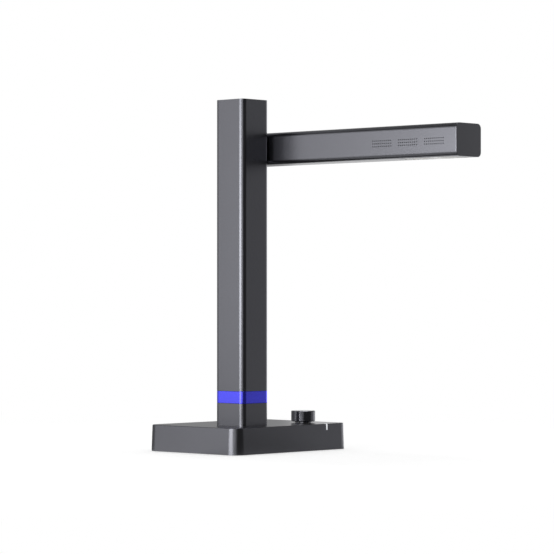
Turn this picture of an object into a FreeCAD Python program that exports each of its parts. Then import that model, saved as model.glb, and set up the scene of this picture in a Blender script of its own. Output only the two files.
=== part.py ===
import FreeCAD, Part
import os
from math import pi

import Sketcher
from FreeCAD import Placement, Rotation, Vector

# Overhead book scanner: a weighted base, a square column with a light ring near its foot, and an arm
# on a friction hinge at the column's side that carries the camera and its lights over the page.
# Millimetres. The origin is on the desk under the middle of the base. +Z is up, the arm reaches
# towards -Y over the page, and +X is the right hand of someone who sits at the page.

os.makedirs("parts", exist_ok=True)
doc = FreeCAD.newDocument("book_scanner")

# Driving dimensions, in millimetres and degrees
SIZES = {
    # base shell, measured at its lower rim
    "base_width": 173.6,
    "base_depth": 128.9,
    "base_height": 28,
    "rim_lift": 0.5,
    "base_draft": 2,
    "base_corner": 11.5,
    "base_edge": 0.8,
    "base_wall": 2.5,
    "base_roof": 3,
    # bottom cover, its screws, the mat and the ballast
    "cover_thickness": 1.2,
    "cover_gap": 0.3,
    "corner_inset": 10.75,
    "boss_diameter": 8,
    "gusset_thickness": 1.2,
    "gusset_height": 12,
    "mat_width": 132,
    "mat_depth": 88,
    "mat_corner": 8,
    "mat_thickness": 1.5,
    "ballast_width": 78,
    "ballast_depth": 112,
    "ballast_thickness": 12,
    "ballast_corner": 4,
    "ballast_x": -29,
    "ballast_screw_span": 80,
    # fasteners and the slack round them
    "screw_diameter": 3,
    "screw_head_diameter": 5.4,
    "screw_slack": 0.05,
    "cover_screw_length": 10,
    "ballast_screw_length": 8,
    "pin_diameter": 1.6,
    "pin_over": 0.5,
    "washer_thickness": 0.3,
    # column, its foot plate and the bolts that hold the stack together
    "column_x": -32.2,
    "column_y": -21,
    "column_width": 40,
    "column_corner": 5.3,
    "column_wall": 2,
    "column_rise": 338.8,
    "column_cap": 2,
    "cap_skirt": 8,
    "skirt_wall": 1.6,
    "fit_gap": 0.15,
    "port_inset": 4.6,
    "port_diameter": 5.6,
    "foot_margin": 6,
    "foot_thickness": 4,
    "cable_hole": 20,
    "tie_bolt_grip": 20,
    "tie_head_height": 3,
    "tie_head_clearance": 1,
    # light ring and its circuit board
    "ring_rise": 23.4,
    "ring_height": 12.8,
    "ring_wall": 2.4,
    "seam": 0.35,
    "ledge_width": 8,
    "ledge_depth": 4.2,
    "ledge_height": 1.6,
    "ring_board_margin": 3.1,
    "ring_board_bore": 12,
    "ring_led_inset": 2.1,
    "ring_led_width": 2.4,
    "ring_led_height": 1,
    # friction hinge
    "pivot_rise": 288.55,
    "arm_gap": 1.2,
    "side_gap": 0.3,
    "axial_gap": 0.1,
    "shaft_diameter": 10,
    "shaft_bore": 5,
    "shaft_across_flats": 8,
    "running_gap": 0.05,
    "flange_margin": 1.1,
    "flange_thickness": 3,
    "bracket_width": 22,
    "bracket_height": 46,
    "bracket_thickness": 4,
    "bracket_boss": 22,
    "bracket_boss_length": 10,
    "bracket_screw_span": 34,
    "bracket_screw_pitch": 13,
    "hinge_washer_diameter": 26,
    "friction_washer_diameter": 13.6,
    "friction_washer_thickness": 0.9,
    "stop_plate_diameter": 24,
    "stop_plate_thickness": 1.5,
    "stop_pin_diameter": 2.5,
    "stop_pin_circle": 8.6,
    "stop_pin_seat": 3,
    "stop_slack": 0.3,
    "fold_angle": 90,
    "disc_spring_diameter": 18,
    "disc_spring_thickness": 0.8,
    "disc_spring_rise": 0.4,
    "disc_spring_count": 2,
    "hinge_nut_width": 17,
    "hinge_nut_height": 5,
    "hinge_shaft_over": 2,
    # arm
    "arm_width": 39,
    "arm_height": 33.1,
    "arm_corner": 5,
    "arm_wall": 1.8,
    "arm_reach": 268.65,
    "arm_tail": 20,
    "arm_cap": 1.2,
    "arm_cap_edge": 0.4,
    "arm_cap_skirt": 5,
    "rib_depth": 1.8,
    "rib_thickness": 1.2,
    "rail_height": 5,
    "rail_relief": 22,
    # vent holes in the arm's side
    "vent_diameter": 1.2,
    "vent_pitch": 2.6,
    "vent_row_pitch": 2.8,
    "vent_columns": 10,
    "vent_rows": 3,
    "vent_groups": 3,
    "vent_group_pitch": 33.7,
    "vent_from_tip": 28.5,
    "vent_drop": 0.8,
    "screen_thickness": 0.8,
    "screen_height": 9.5,
    # camera, lights and the bezel that holds them
    "camera_from_tip": 41,
    "bezel_width": 25,
    "bezel_web": 2.5,
    "bezel_flange": 1.2,
    "bezel_lip": 1.9,
    "bezel_corner": 2,
    "window_length": 20,
    "window_width": 20,
    "diffuser_width": 21.6,
    "front_diffuser_length": 16,
    "rear_diffuser_length": 24,
    "pane_corner": 1.5,
    "pane_gap": 0.05,
    "pane_lip": 1,
    "pane_lip_height": 1,
    "post_diameter": 3.4,
    "post_x": 12.7,
    "camera_post_y": 8.5,
    "light_board_rise": 5,
    "light_board_width": 29,
    "light_board_inset": 1,
    "lamp_pitch": 7,
    "lamp_width": 3.5,
    "lamp_depth": 2.8,
    "lamp_height": 0.8,
    "small_board_thickness": 1.2,
    "camera_board_width": 29,
    "camera_board_depth": 22,
    "camera_board_height": 17,
    "sensor_width": 8,
    "sensor_height": 1.1,
    "lens_diameter": 12,
    "lens_length": 11,
    "lens_setback": 1.6,
    "lens_rim": 1,
    "lens_glass_diameter": 8.4,
    "lens_glass_thickness": 1.4,
    "lens_glass_setback": 2,
    "holder_length": 9,
    "holder_foot": 5,
    "holder_wall": 1.7,
    # circuit boards
    "board_thickness": 1.6,
    "board_x": 41,
    "board_y": 3,
    "board_width": 54,
    "board_depth": 112.4,
    "board_corner": 2,
    "board_drop": 11.4,
    "board_boss_diameter": 6,
    "board_pin_inset": 3.5,
    "chip_height": 1.2,
    "arm_board_length": 158,
    # knob and the control under it
    "knob_x": 53.05,
    "knob_y": -30,
    "knob_diameter": 25.6,
    "knob_rise": 12.9,
    "knob_gap": 1.5,
    "knob_neck": 17.4,
    "knob_lift": 0.3,
    "knob_hollow": 13.4,
    "knob_hollow_depth": 4,
    "knob_edge": 0.5,
    "knob_lower_edge": 0.8,
    "knob_top_wall": 2,
    "control_width": 16,
    "control_height": 7,
    "control_bush": 7,
    "control_shaft": 6,
    "control_flat": 4.5,
    "control_floor": 1,
    "control_rest": 0.2,
    "control_bush_over": 0.5,
    "control_nut_width": 10,
    "control_nut_height": 2.2,
    # status light in the base's front wall
    "status_width": 2.1,
    "status_height": 6.5,
    "status_depth": 3.2,
    "status_foot": 2.6,
    "status_lamp_gap": 0.4,
    # cable socket at the back
    "socket_width": 8.94,
    "socket_height": 3.26,
    "socket_wall": 0.3,
    "socket_length": 10,
    "socket_setback": 0.6,
    "socket_floor": 1,
    "socket_slack": 0.3,
    "tongue_width": 6.7,
    "tongue_thickness": 0.7,
}

sheet = doc.addObject("Spreadsheet::Sheet", "Sizes")
for row, (alias, size) in enumerate(SIZES.items(), start=1):
    sheet.set(f"A{row}", alias)
    sheet.set(f"B{row}", str(size))
    sheet.setAlias(f"B{row}", alias)
doc.recompute()


# Places, levels and fits that several pieces share, as expressions of the sheet
TOP = "Sizes.base_height"
ROOF = "(Sizes.base_height - Sizes.base_roof)"
FOOT = f"({ROOF} - Sizes.foot_thickness)"
COVER = "Sizes.mat_thickness"
INSIDE = "(Sizes.mat_thickness + Sizes.cover_thickness)"
DRAFT = "tan(Sizes.base_draft)"
SHELL_HEIGHT = "(Sizes.base_height - Sizes.rim_lift)"
FRONT_TOP = f"(-Sizes.base_depth / 2 + {SHELL_HEIGHT} * {DRAFT})"
CORNER_X = "(Sizes.base_width / 2 - Sizes.corner_inset)"
CORNER_Y = "(Sizes.base_depth / 2 - Sizes.corner_inset)"
BOARD = f"({ROOF} - Sizes.board_drop)"
BOARD_TOP = f"({BOARD} + Sizes.board_thickness)"
BOARD_EDGE = "(Sizes.board_y - Sizes.board_depth / 2)"
SOCKET_Z = f"({BOARD_TOP} + Sizes.socket_height / 2)"
COLUMN = ("Sizes.column_x", "Sizes.column_y")
RING = "(Sizes.base_height + Sizes.ring_rise)"
TUBE = "(Sizes.base_height + Sizes.ring_rise + Sizes.ring_height)"
COLUMN_TOP = "(Sizes.base_height + Sizes.column_rise)"
PORT = "(Sizes.column_width / 2 - Sizes.port_inset)"
PIVOT = "(Sizes.base_height + Sizes.pivot_rise)"
COLUMN_SIDE = "(Sizes.column_x + Sizes.column_width / 2)"
WALL_INNER = f"({COLUMN_SIDE} - Sizes.column_wall)"
ARM_NEAR = f"({COLUMN_SIDE} + Sizes.arm_gap)"
ARM_X = f"({ARM_NEAR} + Sizes.arm_width / 2)"
ARM_INSIDE = "(Sizes.arm_width - 2 * Sizes.arm_wall)"
ARM_CLEAR = "(Sizes.arm_height - 2 * Sizes.arm_wall)"
TIP = "(Sizes.column_y - Sizes.arm_reach)"
CAMERA_Y = f"({TIP} + Sizes.camera_from_tip)"
KNOB = ("Sizes.knob_x", "Sizes.knob_y")
SCREW_HOLE = "(Sizes.screw_diameter + 2 * Sizes.screw_slack)"
PIN_HOLE = "(Sizes.pin_diameter + 2 * Sizes.screw_slack)"
SHAFT_HOLE = "(Sizes.shaft_diameter + 2 * Sizes.running_gap)"

# Turns that lay a piece's own Z axis along the named axis
AXES = {
    "z": Rotation(),
    "-z": Rotation(Vector(1, 0, 0), 180),
    "x": Rotation(Vector(0, 1, 0), 90),
    "-x": Rotation(Vector(0, 1, 0), -90),
}

nodes = []


def size(expression):
    """The number that an expression of the sheet gives."""
    return float(sheet.evalExpression(expression))


def node(piece, label):
    """Marks an object as a finished piece under its own name."""
    piece.Label = label
    nodes.append(piece)
    return piece


# Placed solids and their combinations
def place(thing, x="0", y="0", z="0", axis="z"):
    """Puts a thing at a bound place, with its own Z along the named axis."""
    thing.Placement = Placement(Vector(), AXES[axis])
    for letter, expression in zip("xyz", (x, y, z)):
        thing.setExpression(f"Placement.Base.{letter}", expression)
    return thing


def add(kind, name, **sizes):
    """A document object whose properties follow expressions."""
    thing = doc.addObject(kind, name)
    for key, expression in sizes.items():
        thing.setExpression(key, expression)
    return thing


def block(name, length, width, height, x="0", y="0", z="0"):
    """A box centred on x and y that stands on z."""
    box = add("Part::Box", name, Length=length, Width=width, Height=height)
    return place(box, f"{x} - ({length}) / 2", f"{y} - ({width}) / 2", z)


def rod(name, diameter, length, x="0", y="0", z="0", axis="z"):
    """A round bar that starts at x, y, z and runs along the axis."""
    bar = add("Part::Cylinder", name, Radius=f"({diameter}) / 2", Height=length)
    return place(bar, x, y, z, axis)


def hexagon(name, width, height, x, y, z, axis="z"):
    """A hexagonal bar, measured across its flats."""
    bar = add("Part::Prism", name, Circumradius=f"({width}) / sqrt(3)", Height=height)
    bar.Polygon = 6
    return place(bar, x, y, z, axis)


def fuse(name, *shapes):
    joined = doc.addObject("Part::MultiFuse", name)
    joined.Shapes = list(shapes)
    joined.Refine = True
    return joined


def cut(name, base, *tools):
    less = doc.addObject("Part::Cut", name)
    less.Base = base
    less.Tool = tools[0] if len(tools) == 1 else fuse(name + "_tools", *tools)
    less.Refine = True
    return less


def group(label, shapes):
    """Loose solids of one kind that share one piece's name."""
    several = doc.addObject("Part::Compound", label)
    several.Links = list(shapes)
    return node(several, label)


# Bodies, sketches and features
def body(name, x="0", y="0", z="0", axis="z"):
    return place(doc.addObject("PartDesign::Body", name), x, y, z, axis)


def sketch(of, plane="XY", across="0", up="0", level="0"):
    """An empty sketch on one of the body's planes; level is its distance along +X, +Y or +Z."""
    drawing = of.newObject("Sketcher::SketchObject", f"{of.Name}_sketch")
    origin_plane = next(f for f in of.Origin.OriginFeatures if f.Role == plane + "_Plane")
    drawing.AttachmentSupport = [(origin_plane, "")]
    drawing.MapMode = "FlatFace"
    drawing.setExpression("AttachmentOffset.Base.x", across)
    drawing.setExpression("AttachmentOffset.Base.y", up)
    drawing.setExpression("AttachmentOffset.Base.z", f"-({level})" if plane == "XZ" else level)
    return drawing


def hold(drawing, expression, *rule):
    """Adds a dimension that follows an expression."""
    index = drawing.addConstraint(Sketcher.Constraint(*rule, size(expression)))
    drawing.setExpression(f"Constraints[{index}]", expression)


def pin_point(drawing, geometry, point, x, y):
    """Ties a sketch point to its bound coordinates."""
    for way, axis, expression in (("DistanceX", -2, x), ("DistanceY", -1, y)):
        if abs(size(expression)) < 1e-9:
            drawing.addConstraint(Sketcher.Constraint("PointOnObject", geometry, point, axis))
        else:
            hold(drawing, expression, way, -1, 1, geometry, point)


def rounded(drawing, width, height, corner):
    """Draws a rectangle with round corners, centred on the sketch's origin."""
    first = drawing.GeometryCount
    w, h, r = size(width) / 2, size(height) / 2, size(corner)
    centres = [(w - r, r - h), (w - r, h - r), (r - w, h - r), (r - w, r - h)]
    reach = [(0, -r), (r, 0), (0, r), (-r, 0), (0, -r)]
    start = Vector(r - w, -h, 0)
    for i, (x, y) in enumerate(centres):
        into, out = reach[i], reach[i + 1]
        drawing.addGeometry(Part.LineSegment(start, Vector(x + into[0], y + into[1], 0)), False)
        circle = Part.Circle(Vector(x, y, 0), Vector(0, 0, 1), r)
        drawing.addGeometry(Part.ArcOfCircle(circle, (i - 1) * pi / 2, i * pi / 2), False)
        start = Vector(x + out[0], y + out[1], 0)
    for i in range(8):
        drawing.addConstraint(Sketcher.Constraint("Tangent", first + i, 2, first + (i + 1) % 8, 1))
    for line, way in ((0, "Horizontal"), (2, "Vertical"), (4, "Horizontal"), (6, "Vertical")):
        drawing.addConstraint(Sketcher.Constraint(way, first + line))
    for arc in (3, 5, 7):
        drawing.addConstraint(Sketcher.Constraint("Equal", first + 1, first + arc))
    drawing.addConstraint(Sketcher.Constraint("Symmetric", first + 1, 3, first + 5, 3, -1, 1))
    hold(drawing, corner, "Radius", first + 1)
    hold(drawing, width, "DistanceX", first + 6, 1, first + 2, 1)
    hold(drawing, height, "DistanceY", first, 1, first + 4, 1)
    return drawing


def circles(drawing, diameter, centres=(("0", "0"),)):
    """Draws circles of one diameter at bound centres."""
    for x, y in centres:
        circle = Part.Circle(Vector(size(x), size(y), 0), Vector(0, 0, 1), size(diameter) / 2)
        ring = drawing.addGeometry(circle, False)
        hold(drawing, diameter, "Diameter", ring)
        pin_point(drawing, ring, 3, x, y)
    return drawing


def outline(drawing, points):
    """Draws a closed run of straight lines through bound points."""
    first = drawing.GeometryCount
    corner_points = [Vector(size(x), size(y), 0) for x, y in points]
    for here, there in zip(corner_points, corner_points[1:] + corner_points[:1]):
        drawing.addGeometry(Part.LineSegment(here, there), False)
    for i, (x, y) in enumerate(points):
        following = first + (i + 1) % len(points)
        drawing.addConstraint(Sketcher.Constraint("Coincident", first + i, 2, following, 1))
        pin_point(drawing, first + i, 1, x, y)
    return drawing


def rectangle(drawing, width, height, x="0", y="0"):
    """Draws a sharp-cornered rectangle about a bound centre."""
    left, right = f"{x} - ({width}) / 2", f"{x} + ({width}) / 2"
    low, high = f"{y} - ({height}) / 2", f"{y} + ({height}) / 2"
    return outline(drawing, [(left, low), (right, low), (right, high), (left, high)])


def pad(of, drawing, length, taper=None, back=False, middle=False):
    """Raises a sketch along +X, -Y or +Z, or the other way round."""
    solid = of.newObject("PartDesign::Pad", f"{of.Name}_pad")
    solid.Profile = drawing
    solid.setExpression("Length", length)
    solid.Reversed = back
    solid.Midplane = middle
    if taper:
        solid.setExpression("TaperAngle", taper)
    doc.recompute()
    return solid


def pocket(of, drawing, depth=None, taper=None, back=False):
    """Cuts a sketch out along -X, +Y or -Z, or the other way round; through all with no depth."""
    before = of.Shape.Volume
    hole = of.newObject("PartDesign::Pocket", f"{of.Name}_pocket")
    hole.Profile = drawing
    hole.Reversed = back
    if depth:
        hole.setExpression("Length", depth)
    else:
        hole.Type = "ThroughAll"
    if taper:
        hole.setExpression("TaperAngle", taper)
    doc.recompute()
    if of.Shape.Volume > before - 1e-6:
        raise ValueError(f"{hole.Name} cuts nothing")
    return hole


def countersink(of, drawing, depth, back=False):
    """Drills the sketch's circles as screw holes with conical seats for flat heads."""
    hole = of.newObject("PartDesign::Hole", f"{of.Name}_hole")
    hole.Profile = drawing
    doc.recompute()
    hole.DepthType = "Dimension"
    hole.DrillPoint = "Flat"
    hole.HoleCutType = "Countersink"
    hole.HoleCutCustomValues = True
    hole.HoleCutCountersinkAngle = 90
    hole.Reversed = back
    hole.setExpression("Diameter", SCREW_HOLE)
    hole.setExpression("HoleCutDiameter", "Sizes.screw_head_diameter")
    hole.setExpression("Depth", depth)
    doc.recompute()
    return hole


def revolve(of, drawing):
    """Turns a profile all the way round the sketch's upright axis."""
    turned = of.newObject("PartDesign::Revolution", f"{of.Name}_turn")
    turned.Profile = drawing
    turned.ReferenceAxis = (drawing, ["V_Axis"])
    turned.Angle = 360
    doc.recompute()
    return turned


def dress(kind, of, names, key, amount):
    """A fillet or chamfer on named edges of the newest feature."""
    latest = of.Tip
    dressed = of.newObject(f"PartDesign::{kind}", f"{of.Name}_{kind.lower()}")
    dressed.Base = (latest, names)
    dressed.setExpression(key, amount)
    doc.recompute()
    return dressed


def rim(of, level, axis="Z", reach=0):
    """Names of the edges that lie in a plane and go at least as far out as the reach."""
    names = []
    for i, edge in enumerate(of.Tip.Shape.Edges, start=1):
        box = edge.BoundBox
        low, high = (box.ZMin, box.ZMax) if axis == "Z" else (box.YMin, box.YMax)
        outermost = max(abs(v) for v in (box.XMin, box.XMax, box.YMin, box.YMax))
        if abs(low - level) < 1e-4 and abs(high - level) < 1e-4 and outermost > reach - 1e-3:
            names.append(f"Edge{i}")
    return names


# Small parts that occur more than once
def corners(x, y, centre_x="0", centre_y="0"):
    """Four bound places in a rectangle about a centre."""
    return [(f"({centre_x}) {right} ({x})", f"({centre_y}) {up} ({y})")
            for right, up in (("+", "+"), ("-", "+"), ("-", "-"), ("+", "-"))]


def slab(label, width, depth, thickness, corner, x="0", y="0", z="0", holes=()):
    """A flat plate with round corners that lies on z, drilled for the pins it is staked on."""
    plate = body(label, x, y, z)
    drawing = rounded(sketch(plate), width, depth, corner)
    pad(plate, circles(drawing, PIN_HOLE, holes), thickness)
    return node(plate, label)


def flat_screw(name, length, x, y, z, axis):
    """A screw whose flat head lies at x, y, z and whose shank runs along the axis."""
    head = add("Part::Cone", name + "_head", Radius1="Sizes.screw_head_diameter / 2",
               Radius2="Sizes.screw_diameter / 2",
               Height="(Sizes.screw_head_diameter - Sizes.screw_diameter) / 2")
    place(head, x, y, z, axis)
    return fuse(name, head, rod(name + "_shank", "Sizes.screw_diameter", length, x, y, z, axis))


# Base: shell, cover, mat, ballast and board
COVER_SCREWS = corners(CORNER_X, CORNER_Y)
TIE_BOLTS = corners(PORT, PORT, *COLUMN)
BOARD_HOLES = corners("Sizes.board_width / 2 - Sizes.board_pin_inset",
                      "Sizes.board_depth / 2 - Sizes.board_pin_inset")
BOARD_PINS = corners("Sizes.board_width / 2 - Sizes.board_pin_inset",
                     "Sizes.board_depth / 2 - Sizes.board_pin_inset",
                     "Sizes.board_x", "Sizes.board_y")
BALLAST_SCREWS = [("Sizes.ballast_x", "Sizes.ballast_screw_span / 2"),
                  ("Sizes.ballast_x", "-Sizes.ballast_screw_span / 2")]


def make_base_housing():
    """A drafted shell, open below, with bosses and gussets inside and openings for what passes it."""
    shell = body("base_housing")
    outside = rounded(sketch(shell, level="Sizes.rim_lift"), "Sizes.base_width", "Sizes.base_depth",
                      "Sizes.base_corner")
    pad(shell, outside, SHELL_HEIGHT, taper="-Sizes.base_draft")
    dress("Fillet", shell, rim(shell, size(TOP)), "Radius", "Sizes.base_edge")
    inside = rounded(sketch(shell, level="Sizes.rim_lift"), "Sizes.base_width - 2 * Sizes.base_wall",
                     "Sizes.base_depth - 2 * Sizes.base_wall", "Sizes.base_corner - Sizes.base_wall")
    pocket(shell, inside, f"{SHELL_HEIGHT} - Sizes.base_roof", taper="-Sizes.base_draft", back=True)
    bosses = circles(sketch(shell, level=ROOF), "Sizes.boss_diameter", COVER_SCREWS)
    pad(shell, bosses, f"{ROOF} - {INSIDE}", back=True)
    gussets = sketch(shell, level=ROOF)
    gap = "(Sizes.corner_inset - Sizes.base_wall / 2)"
    lean = f"({SHELL_HEIGHT} * {DRAFT})"
    for side_x in ("", "-"):
        for side_y in ("", "-"):
            x, y = f"{side_x}{CORNER_X}", f"{side_y}{CORNER_Y}"
            start = "Sizes.boss_diameter / 4"
            rectangle(gussets, f"{gap} - {lean} - {start}", "Sizes.gusset_thickness",
                      f"{side_x}({CORNER_X} + ({gap} - {lean} + {start}) / 2)", y)
            rectangle(gussets, "Sizes.gusset_thickness", f"{gap} - {lean} - {start}",
                      x, f"{side_y}({CORNER_Y} + ({gap} - {lean} + {start}) / 2)")
    pad(shell, gussets, "Sizes.gusset_height", back=True)
    for centres, width, length in ((BOARD_PINS, "Sizes.board_boss_diameter", "0"),
                                   (BOARD_PINS, "Sizes.pin_diameter",
                                    "Sizes.board_thickness + Sizes.pin_over")):
        pad(shell, circles(sketch(shell, level=ROOF), width, centres),
            f"{ROOF} - {BOARD_TOP} + {length}", back=True)
    taps = circles(sketch(shell, level=INSIDE), SCREW_HOLE, COVER_SCREWS)
    pocket(shell, taps, "Sizes.cover_screw_length", back=True)
    through = circles(sketch(shell, level=TOP), SCREW_HOLE, TIE_BOLTS)
    circles(through, "Sizes.cable_hole", [COLUMN])
    circles(through, "Sizes.control_bush + 2 * Sizes.fit_gap", [KNOB])
    pocket(shell, through, "Sizes.base_roof")
    # the status light's slot is open at the top edge of the front wall
    high = "(Sizes.status_height + Sizes.screw_slack)"
    slot = sketch(shell, "XZ", across="Sizes.knob_x", up=f"{TOP} - {high} / 2",
                  level=f"{FRONT_TOP} + Sizes.status_depth")
    rectangle(slot, "Sizes.status_width + 2 * Sizes.screw_slack", high)
    pocket(shell, slot, "2 * Sizes.status_depth", back=True)
    mouth = sketch(shell, "XZ", across="Sizes.board_x", up=SOCKET_Z, level="Sizes.base_depth / 2")
    rounded(mouth, "Sizes.socket_width + 2 * Sizes.socket_slack",
            "Sizes.socket_height + 2 * Sizes.socket_slack", "Sizes.socket_height / 2")
    pocket(shell, mouth, "2 * Sizes.base_wall", back=True)
    return node(shell, "base_housing")


def make_base_cover():
    """The steel bottom cover, let in between the walls and drilled for flat-headed screws."""
    cover = body("base_cover", z=COVER)
    edge = "2 * (Sizes.base_wall + Sizes.cover_gap)"
    plate = rounded(sketch(cover), f"Sizes.base_width - {edge}", f"Sizes.base_depth - {edge}",
                    "Sizes.base_corner - Sizes.base_wall - Sizes.cover_gap")
    pad(cover, plate, "Sizes.cover_thickness")
    holes = circles(sketch(cover), SCREW_HOLE, COVER_SCREWS + BALLAST_SCREWS)
    countersink(cover, holes, "Sizes.cover_thickness + 1", back=True)
    node(cover, "base_cover")
    group("cover_screws", [flat_screw(f"cover_screw_{i}", "Sizes.cover_screw_length", x, y, COVER, "z")
                           for i, (x, y) in enumerate(COVER_SCREWS)])


def make_ballast():
    """A steel block that keeps the arm's reach from tipping the base.

    In a low base it is thinner, so that it stays clear of the long bolts' heads."""
    steel = body("ballast_block", "Sizes.ballast_x", "0", INSIDE)
    room = f"{FOOT} - Sizes.tie_head_height - Sizes.tie_head_clearance - {INSIDE}"
    pad(steel, rounded(sketch(steel), "Sizes.ballast_width", "Sizes.ballast_depth",
                       "Sizes.ballast_corner"), f"min(Sizes.ballast_thickness; {room})")
    taps = circles(sketch(steel), SCREW_HOLE, [("0", y) for x, y in BALLAST_SCREWS])
    pocket(steel, taps, "Sizes.ballast_screw_length", back=True)
    node(steel, "ballast_block")
    group("ballast_screws", [flat_screw(f"ballast_screw_{i}", "Sizes.ballast_screw_length", x, y,
                                        COVER, "z") for i, (x, y) in enumerate(BALLAST_SCREWS)])


def make_base_board():
    """The base's circuit board with its parts, staked to the shell's bosses."""
    slab("base_board", "Sizes.board_width", "Sizes.board_depth", "Sizes.board_thickness",
         "Sizes.board_corner", "Sizes.board_x", "Sizes.board_y", BOARD, BOARD_HOLES)
    high = "3 * Sizes.chip_height"
    group("base_board_parts", [
        block("base_controller", "9", "9", "Sizes.chip_height", "Sizes.board_x", "Sizes.board_y",
              BOARD_TOP),
        block("base_regulator", "6", "5", "Sizes.chip_height", "Sizes.board_x - 14",
              "Sizes.board_y + 26", BOARD_TOP),
        block("base_coil", "7", "7", high, "Sizes.board_x - 14", "Sizes.board_y + 15", BOARD_TOP),
        block("base_connector", "5", "12", high, "Sizes.board_x - 21", "Sizes.board_y - 20",
              BOARD_TOP)])


def make_socket():
    """A rounded metal socket at the back edge of the board, with the tongue inside it."""
    mouth = (f"(Sizes.base_depth / 2 - ({SOCKET_Z} - Sizes.rim_lift) * {DRAFT}"
             " - Sizes.socket_setback)")
    # a hair under half the height, so that the short sides keep a straight line between their arcs
    corner = "Sizes.socket_height / 2 - 0.01"
    shell = body("socket_shell", "Sizes.board_x", mouth, SOCKET_Z)
    pad(shell, rounded(sketch(shell, "XZ"), "Sizes.socket_width", "Sizes.socket_height", corner),
        "Sizes.socket_length")
    pocket(shell, rounded(sketch(shell, "XZ", level="-(Sizes.socket_length - Sizes.socket_floor)"),
                          "Sizes.socket_width - 2 * Sizes.socket_wall",
                          "Sizes.socket_height - 2 * Sizes.socket_wall",
                          f"{corner} - Sizes.socket_wall"), "Sizes.socket_length")
    node(shell, "socket_shell")
    tongue = body("socket_tongue", "Sizes.board_x", mouth, SOCKET_Z)
    blade = sketch(tongue, "XZ", level="-(Sizes.socket_length - Sizes.socket_floor)")
    pad(tongue, rounded(blade, "Sizes.tongue_width", "Sizes.tongue_thickness",
                        "Sizes.tongue_thickness / 4"),
        "Sizes.socket_length - 2 * Sizes.socket_floor", back=True)
    node(tongue, "socket_tongue")


# Column: foot plate, lower sleeve, light ring, long tube and cap, pulled together by four bolts
def column_profile(label, z, height, wall):
    """A length of square tube with round corners and a screw port in each corner."""
    tube = body(label, *COLUMN, z)
    outside = rounded(sketch(tube), "Sizes.column_width", "Sizes.column_width", "Sizes.column_corner")
    pad(tube, outside, height)
    clear = f"Sizes.column_width - 2 * {wall}"
    pocket(tube, rounded(sketch(tube), clear, clear, f"Sizes.column_corner - {wall}"), height, back=True)
    pad(tube, circles(sketch(tube), "Sizes.port_diameter", corners(PORT, PORT)), height)
    pocket(tube, circles(sketch(tube), SCREW_HOLE, corners(PORT, PORT)), height, back=True)
    return tube


def make_column_foot():
    """A steel plate under the roof, and the long bolts that run from it up into the tube."""
    foot = body("column_foot", *COLUMN, FOOT)
    width = "Sizes.column_width + 2 * Sizes.foot_margin"
    face = circles(rounded(sketch(foot), width, width, "Sizes.column_corner"), SCREW_HOLE,
                   corners(PORT, PORT))
    pad(foot, circles(face, "Sizes.cable_hole"), "Sizes.foot_thickness")
    node(foot, "column_foot")
    length = f"{TUBE} + Sizes.tie_bolt_grip - {FOOT}"
    bolts = []
    for i, (x, y) in enumerate(TIE_BOLTS):
        head = rod(f"tie_head_{i}", "Sizes.screw_head_diameter", "Sizes.tie_head_height", x, y, FOOT,
                   "-z")
        shank = rod(f"tie_shank_{i}", "Sizes.screw_diameter", length, x, y, FOOT)
        bolts.append(fuse(f"tie_bolt_{i}", head, shank))
    group("tie_bolts", bolts)


def make_light_ring():
    """The translucent section, bevelled along both rims, with ledges inside for its lamp board."""
    half = size("Sizes.column_width / 2")
    ring = column_profile("light_ring", RING, "Sizes.ring_height", "Sizes.ring_wall")
    both = rim(ring, 0, reach=half) + rim(ring, size("Sizes.ring_height"), reach=half)
    dress("Chamfer", ring, both, "Size", "Sizes.seam")
    out = "(Sizes.column_width / 2 - Sizes.ring_wall - Sizes.ledge_depth / 2)"
    ledges = sketch(ring)
    for side in ("", "-"):
        rectangle(ledges, "Sizes.ledge_depth", "Sizes.ledge_width", side + out, "0")
        rectangle(ledges, "Sizes.ledge_width", "Sizes.ledge_depth", "0", side + out)
    pad(ring, ledges, "Sizes.ledge_height")
    node(ring, "light_ring")
    board_radius = "(Sizes.column_width / 2 - Sizes.ring_wall - Sizes.ring_board_margin)"
    board = body("ring_board", *COLUMN, f"{RING} + Sizes.ledge_height")
    face = circles(sketch(board), f"2 * {board_radius}")
    pad(board, circles(face, "Sizes.ring_board_bore"), "Sizes.small_board_thickness")
    node(board, "ring_board")
    circle = f"({board_radius} - Sizes.ring_led_inset)"
    level = f"{RING} + Sizes.ledge_height + Sizes.small_board_thickness"
    group("ring_lamps", [
        block(f"ring_lamp_{turn}", "Sizes.ring_led_width", "Sizes.ring_led_width",
              "Sizes.ring_led_height", f"Sizes.column_x + {circle} * cos({turn})",
              f"Sizes.column_y + {circle} * sin({turn})", level) for turn in range(0, 360, 45)])


def make_column_tube():
    """The long extruded section, with the hinge's holes in its side and a step for the cap."""
    tube = column_profile("column_tube", TUBE, f"{COLUMN_TOP} - {TUBE}", "Sizes.column_wall")
    clear = "Sizes.column_width - 2 * Sizes.column_wall"
    step = sketch(tube, level=f"{COLUMN_TOP} - {TUBE}")
    rounded(step, clear, clear, "Sizes.column_corner - Sizes.column_wall")
    pocket(tube, step, "Sizes.column_cap")
    side = "Sizes.column_width / 2"
    bore = sketch(tube, "YZ", up=f"{PIVOT} - {TUBE}", level=side)
    pocket(tube, circles(bore, "Sizes.shaft_diameter + 6 * Sizes.fit_gap"), "Sizes.column_wall")
    holes = sketch(tube, "YZ", up=f"{PIVOT} - {TUBE}", level=side)
    countersink(tube, circles(holes, SCREW_HOLE, BRACKET_SCREWS), "Sizes.column_wall + 1")
    return node(tube, "column_tube")


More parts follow.
